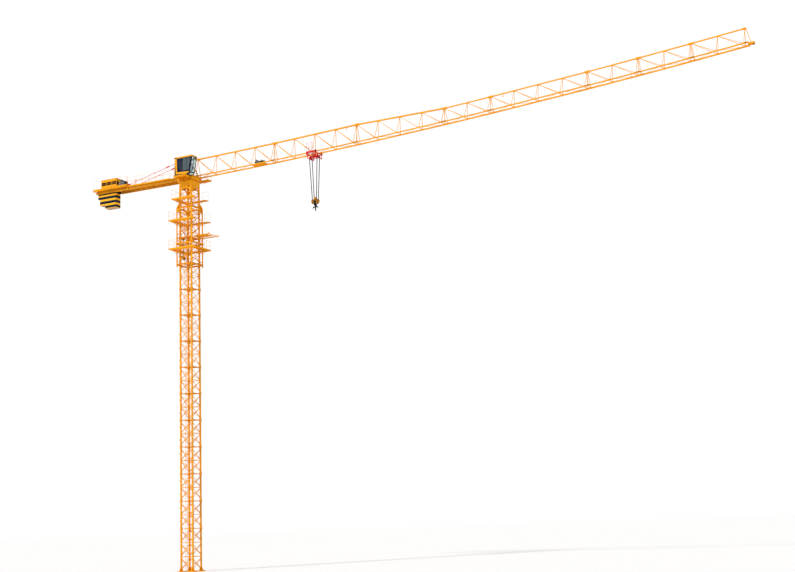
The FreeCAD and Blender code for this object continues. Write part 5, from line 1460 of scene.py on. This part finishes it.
def build_hook_block():
    _, _, z = hook_places()
    place = Matrix.Translation((TROLLEY_X, 0, z))
    cheeks = Piece("hook_block_cheeks", place)
    dark = Piece("hook_block_sheaves", place)
    for s in (-1, 1):
        y = sorted((s * 9, s * 12))
        back = sorted((s * 8, s * 10.4))
        cheeks.prism(((-15, 22), (15, 22), (11, 43), (-11, 43)), y)
        cheeks.prism(((-9, 2), (9, 2), (15, 22), (-15, 22)), y)
        dark.prism(((-11, -52), (11, -52), (9, -30), (-9, -30)), y)
        dark.prism(((-14, -40), (14, -40), (17, 24), (-17, 24)), back)
        for w in (-1, 1):
            lobe = [(16, -36), (34, -32), (47, -14), (47, 7), (34, 18), (21, 16)]
            outer = [(w * a, b) for a, b in lobe]
            lower, upper = outer[:3] + [(w * 13, -10)], [(w * 13, -10)] + outer[2:4] + [outer[4]]
            top = [(w * 13, -10), outer[4], outer[5], (w * 15, 4)]
            for shape in (lower, upper, top):
                cheeks.prism(shape if w > 0 else shape[::-1], y)
            for x0, x1 in ((3, 15), (24, 32)):
                band = [(w * x0, -34), (w * (x0 + 9), -34), (w * (x1 + 9), 17), (w * x1, 17)]
                dark.prism(band if w > 0 else band[::-1], sorted((s * 11.6, s * 12.8)))
            cheeks.tube((w * 25, s * 12, 0), (w * 25, s * 14.4, 0), 5.5, 12)
        dark.block((-3.4, 3.4), sorted((s * 11.6, s * 12.6)), (-30, 26))
        cheeks.tube((0, s * 12, 34), (0, s * 13.8, 34), 4, 12)
    for w in (-1, 1):
        sheave(dark, (w * 25, 0, 0), 7.4, 4.5)
        dark.tube((w * 25, -12, 0), (w * 25, 12, 0), 2.6, 12)
    cheeks.block((-9, 9), (-9, 9), (30, 41))
    dark.block((-13, 13), (-11.6, 11.6), (-52, -38))
    cheeks.done("block", "hook_block", ("hook_block",), 0.5)
    dark.done("black", "hook_block", (), 0.3)


def build_hook():
    """A double hook: a shank, a nut and two tapering horns spun from a circle."""
    _, _, z = hook_places()
    centre_z = z - 84
    horns = []
    for side in (-1, 1):
        clear()
        start = Vector((TROLLEY_X - side, 0, centre_z)) * MM
        bpy.ops.mesh.primitive_circle_add(
            vertices=14, radius=6.4 * MM, fill_type="NGON", location=start, rotation=(0, 0, 0)
        )
        horn = bpy.context.object
        bpy.ops.object.transform_apply(location=True, rotation=True, scale=True)
        bpy.ops.object.mode_set(mode="EDIT")
        bpy.ops.mesh.select_all(action="SELECT")
        middle = Vector((TROLLEY_X + 16 * side, 0, centre_z)) * MM
        bpy.ops.mesh.spin(
            steps=18, angle=math.radians(195) * -side, center=middle, axis=(0, 1, 0), dupli=False
        )
        bpy.ops.mesh.select_all(action="SELECT")
        bpy.ops.mesh.remove_doubles(threshold=0.00001)
        bpy.ops.mesh.normals_make_consistent(inside=False)
        bpy.ops.object.mode_set(mode="OBJECT")
        for vertex in horn.data.vertices:
            away = vertex.co - middle
            angle = math.degrees(math.atan2(away.z, away.x * side))
            turned = (angle + 180) % 360
            if turned > 195 + 20:
                turned = 0
            share = max(0.0, (turned - 90) / 105)
            ring = Vector((away.x, 0, away.z)).normalized() * 0.017
            vertex.co = middle + ring + (away - ring) * (1 - 0.55 * share)
        horns.append(horn)
    shank = Piece("forged_double_hook")
    x = TROLLEY_X
    shank.tube((x, 0, z - 93), (x, 0, z - 53.4), 7.2, 28)
    shank.tube((x, 0, z - 60), (x, 0, z - 53.4), 11, 12)
    shank.tube((x, 0, z - 70), (x, 0, z - 60), 8, 12)
    shank.ball((x, 0, z - 104), 8)
    shank.tube((x, 0, z - 112), (x, 0, z - 93), 5.4, 12)
    clear()
    for part in shank.parts:
        part.select_set(True)
        part.data.transform(Matrix.Scale(MM, 4))
    for horn in horns:
        horn.select_set(True)
    bpy.context.view_layer.objects.active = shank.parts[0]
    bpy.ops.object.join()
    piece = bpy.context.view_layer.objects.active
    piece.name = shank.name
    settle(piece, "black", "hook", ("hook",))
    latches = Piece("hook_latches")
    for side in (-1, 1):
        latches.beam((x + side * 7, 0, z - 72), (x + side * 30, 0, z - 80), 3, 1.2)
        latches.tube((x + side * 7, -2.4, z - 72), (x + side * 7, 2.4, z - 72), 1.5)
    latches.done("steel", "hook", (), 0.2)


# ------------------------------------------------------------------- stage


def build_stage():
    clear()
    bpy.ops.mesh.primitive_plane_add(size=160, location=(0, 0, -0.0005))
    floor = bpy.context.object
    floor.name = "pale_floor"
    finish = Finish("pale_floor_finish")
    mottle = finish.noise(1.4, 4.0)
    tone = finish.blend(mottle, (0.93, 0.93, 0.93), (0.96, 0.96, 0.96))
    floor.data.materials.append(finish.wear(Base_Color=tone, Roughness=0.85))
    world = bpy.data.worlds.new("soft_studio")
    bpy.context.scene.world = world
    world.use_nodes = True
    background = world.node_tree.nodes["Background"]
    path = world.node_tree.nodes.new("ShaderNodeLightPath")
    strength = world.node_tree.nodes.new("ShaderNodeMapRange")
    strength.inputs["To Min"].default_value = 0.66
    strength.inputs["To Max"].default_value = 1.05
    world.node_tree.links.new(path.outputs["Is Camera Ray"], strength.inputs["Value"])
    world.node_tree.links.new(strength.outputs["Result"], background.inputs["Strength"])
    background.inputs["Color"].default_value = (1.0, 1.0, 1.0, 1.0)
    bpy.ops.object.light_add(type="SUN", rotation=(math.radians(52), 0, math.radians(-24)))
    sun = bpy.context.object
    sun.name = "key_light"
    sun.data.energy = 2.1
    sun.data.angle = math.radians(7)
    sun.data.color = (1.0, 0.985, 0.96)
    right = Vector((0.894962, 0.444809, -0.034481))
    up = Vector((0.111328, -0.147813, 0.982730))
    ahead = Vector((-0.432030, 0.883344, 0.181806))
    bpy.ops.object.camera_add(location=(8.43509, -11.81514, 0.47763))
    camera = bpy.context.object
    camera.name = "view_camera"
    turn = Matrix((right, up, -ahead)).transposed()
    camera.rotation_euler = turn.to_euler()
    camera.data.sensor_width = 36
    camera.data.lens = 57.3775
    camera.data.clip_end = 200
    bpy.context.scene.camera = camera
    bpy.context.scene.view_settings.view_transform = "Standard"


class CRANE_OT_stock(bpy.types.Operator):
    """Make the stock shapes and the finishes."""

    bl_idname = "crane.stock"
    bl_label = "Stock shapes"

    def execute(self, context):
        make_stock()
        make_finishes()
        return {"FINISHED"}


class CRANE_OT_stage(bpy.types.Operator):
    """Set the floor, the lights and the camera."""

    bl_idname = "crane.stage"
    bl_label = "Stage"

    def execute(self, context):
        build_stage()
        return {"FINISHED"}


class CRANE_OT_mast(bpy.types.Operator):
    """Build the mast's posts, walls, ladder and feet."""

    bl_idname = "crane.mast"
    bl_label = "Mast"

    def execute(self, context):
        build_mast_posts()
        build_mast_walls()
        build_mast_inside()
        return {"FINISHED"}


class CRANE_OT_cage(bpy.types.Operator):
    """Build the cage, its walkways, feed platform and jack."""

    bl_idname = "crane.cage"
    bl_label = "Climbing frame"

    def execute(self, context):
        build_cage()
        build_walkways()
        build_feed_platform()
        build_jack()
        return {"FINISHED"}


class CRANE_OT_slewing(bpy.types.Operator):
    """Build the transition section and the slewing base."""

    bl_idname = "crane.slewing"
    bl_label = "Slewing base"

    def execute(self, context):
        build_transition()
        return {"FINISHED"}


class CRANE_OT_turntable(bpy.types.Operator):
    """Build the turntable, tower head and landings."""

    bl_idname = "crane.turntable"
    bl_label = "Turntable"

    def execute(self, context):
        build_turntable()
        return {"FINISHED"}


class CRANE_OT_cab(bpy.types.Operator):
    """Build the cab's panels, frame, seals and rails."""

    bl_idname = "crane.cab"
    bl_label = "Cab"

    def execute(self, context):
        build_cab()
        return {"FINISHED"}


class CRANE_OT_jib(bpy.types.Operator):
    """Build the jib's sections, tip and trolley winch."""

    bl_idname = "crane.jib"
    bl_label = "Jib"

    def execute(self, context):
        build_jib()
        build_trolley_winch()
        return {"FINISHED"}


class CRANE_OT_counter_jib(bpy.types.Operator):
    """Build the girders, deck, handrails and stays."""

    bl_idname = "crane.counter_jib"
    bl_label = "Counter-jib"

    def execute(self, context):
        build_counter_jib()
        build_stays()
        return {"FINISHED"}


class CRANE_OT_machinery(bpy.types.Operator):
    """Build the machinery house, hoist winch and slabs."""

    bl_idname = "crane.machinery"
    bl_label = "Machinery and slabs"

    def execute(self, context):
        build_machinery()
        build_counterweight()
        return {"FINISHED"}


class CRANE_OT_trolley(bpy.types.Operator):
    """Build the trolley with its wheels, sheaves and basket."""

    bl_idname = "crane.trolley"
    bl_label = "Trolley"

    def execute(self, context):
        build_trolley()
        return {"FINISHED"}


class CRANE_OT_hook(bpy.types.Operator):
    """Build the rope falls, the block and the double hook."""

    bl_idname = "crane.hook"
    bl_label = "Ropes and hook"

    def execute(self, context):
        build_ropes()
        build_hook_block()
        build_hook()
        return {"FINISHED"}


STEPS = (
    CRANE_OT_stock, CRANE_OT_stage, CRANE_OT_mast, CRANE_OT_cage,
    CRANE_OT_slewing, CRANE_OT_turntable, CRANE_OT_cab, CRANE_OT_jib,
    CRANE_OT_counter_jib, CRANE_OT_machinery, CRANE_OT_trolley, CRANE_OT_hook,
)


class CRANE_PT_panel(bpy.types.Panel):
    """Lists the crane's building steps."""

    bl_label = "Tower Crane"
    bl_idname = "CRANE_PT_panel"
    bl_space_type = "VIEW_3D"
    bl_region_type = "UI"
    bl_category = "Tower Crane"

    def draw(self, context):
        for step in STEPS:
            self.layout.operator(step.bl_idname)
        for group in (context.scene.crane_colours, context.scene.crane_sizes):
            for prop in group.bl_rna.properties:
                if prop.identifier not in ("rna_type", "name"):
                    self.layout.prop(group, prop.identifier)


CLASSES = (CraneColours, CraneSizes, *STEPS, CRANE_PT_panel)


def register():
    for item in CLASSES:
        bpy.utils.register_class(item)
    bpy.types.Scene.crane_colours = bpy.props.PointerProperty(type=CraneColours)
    bpy.types.Scene.crane_sizes = bpy.props.PointerProperty(type=CraneSizes)


def unregister():
    del bpy.types.Scene.crane_sizes
    del bpy.types.Scene.crane_colours
    for item in reversed(CLASSES):
        bpy.utils.unregister_class(item)


def main():
    register()
    for step in STEPS:
        getattr(bpy.ops.crane, step.bl_idname.split(".")[1])()


if __name__ == "__main__":
    main()
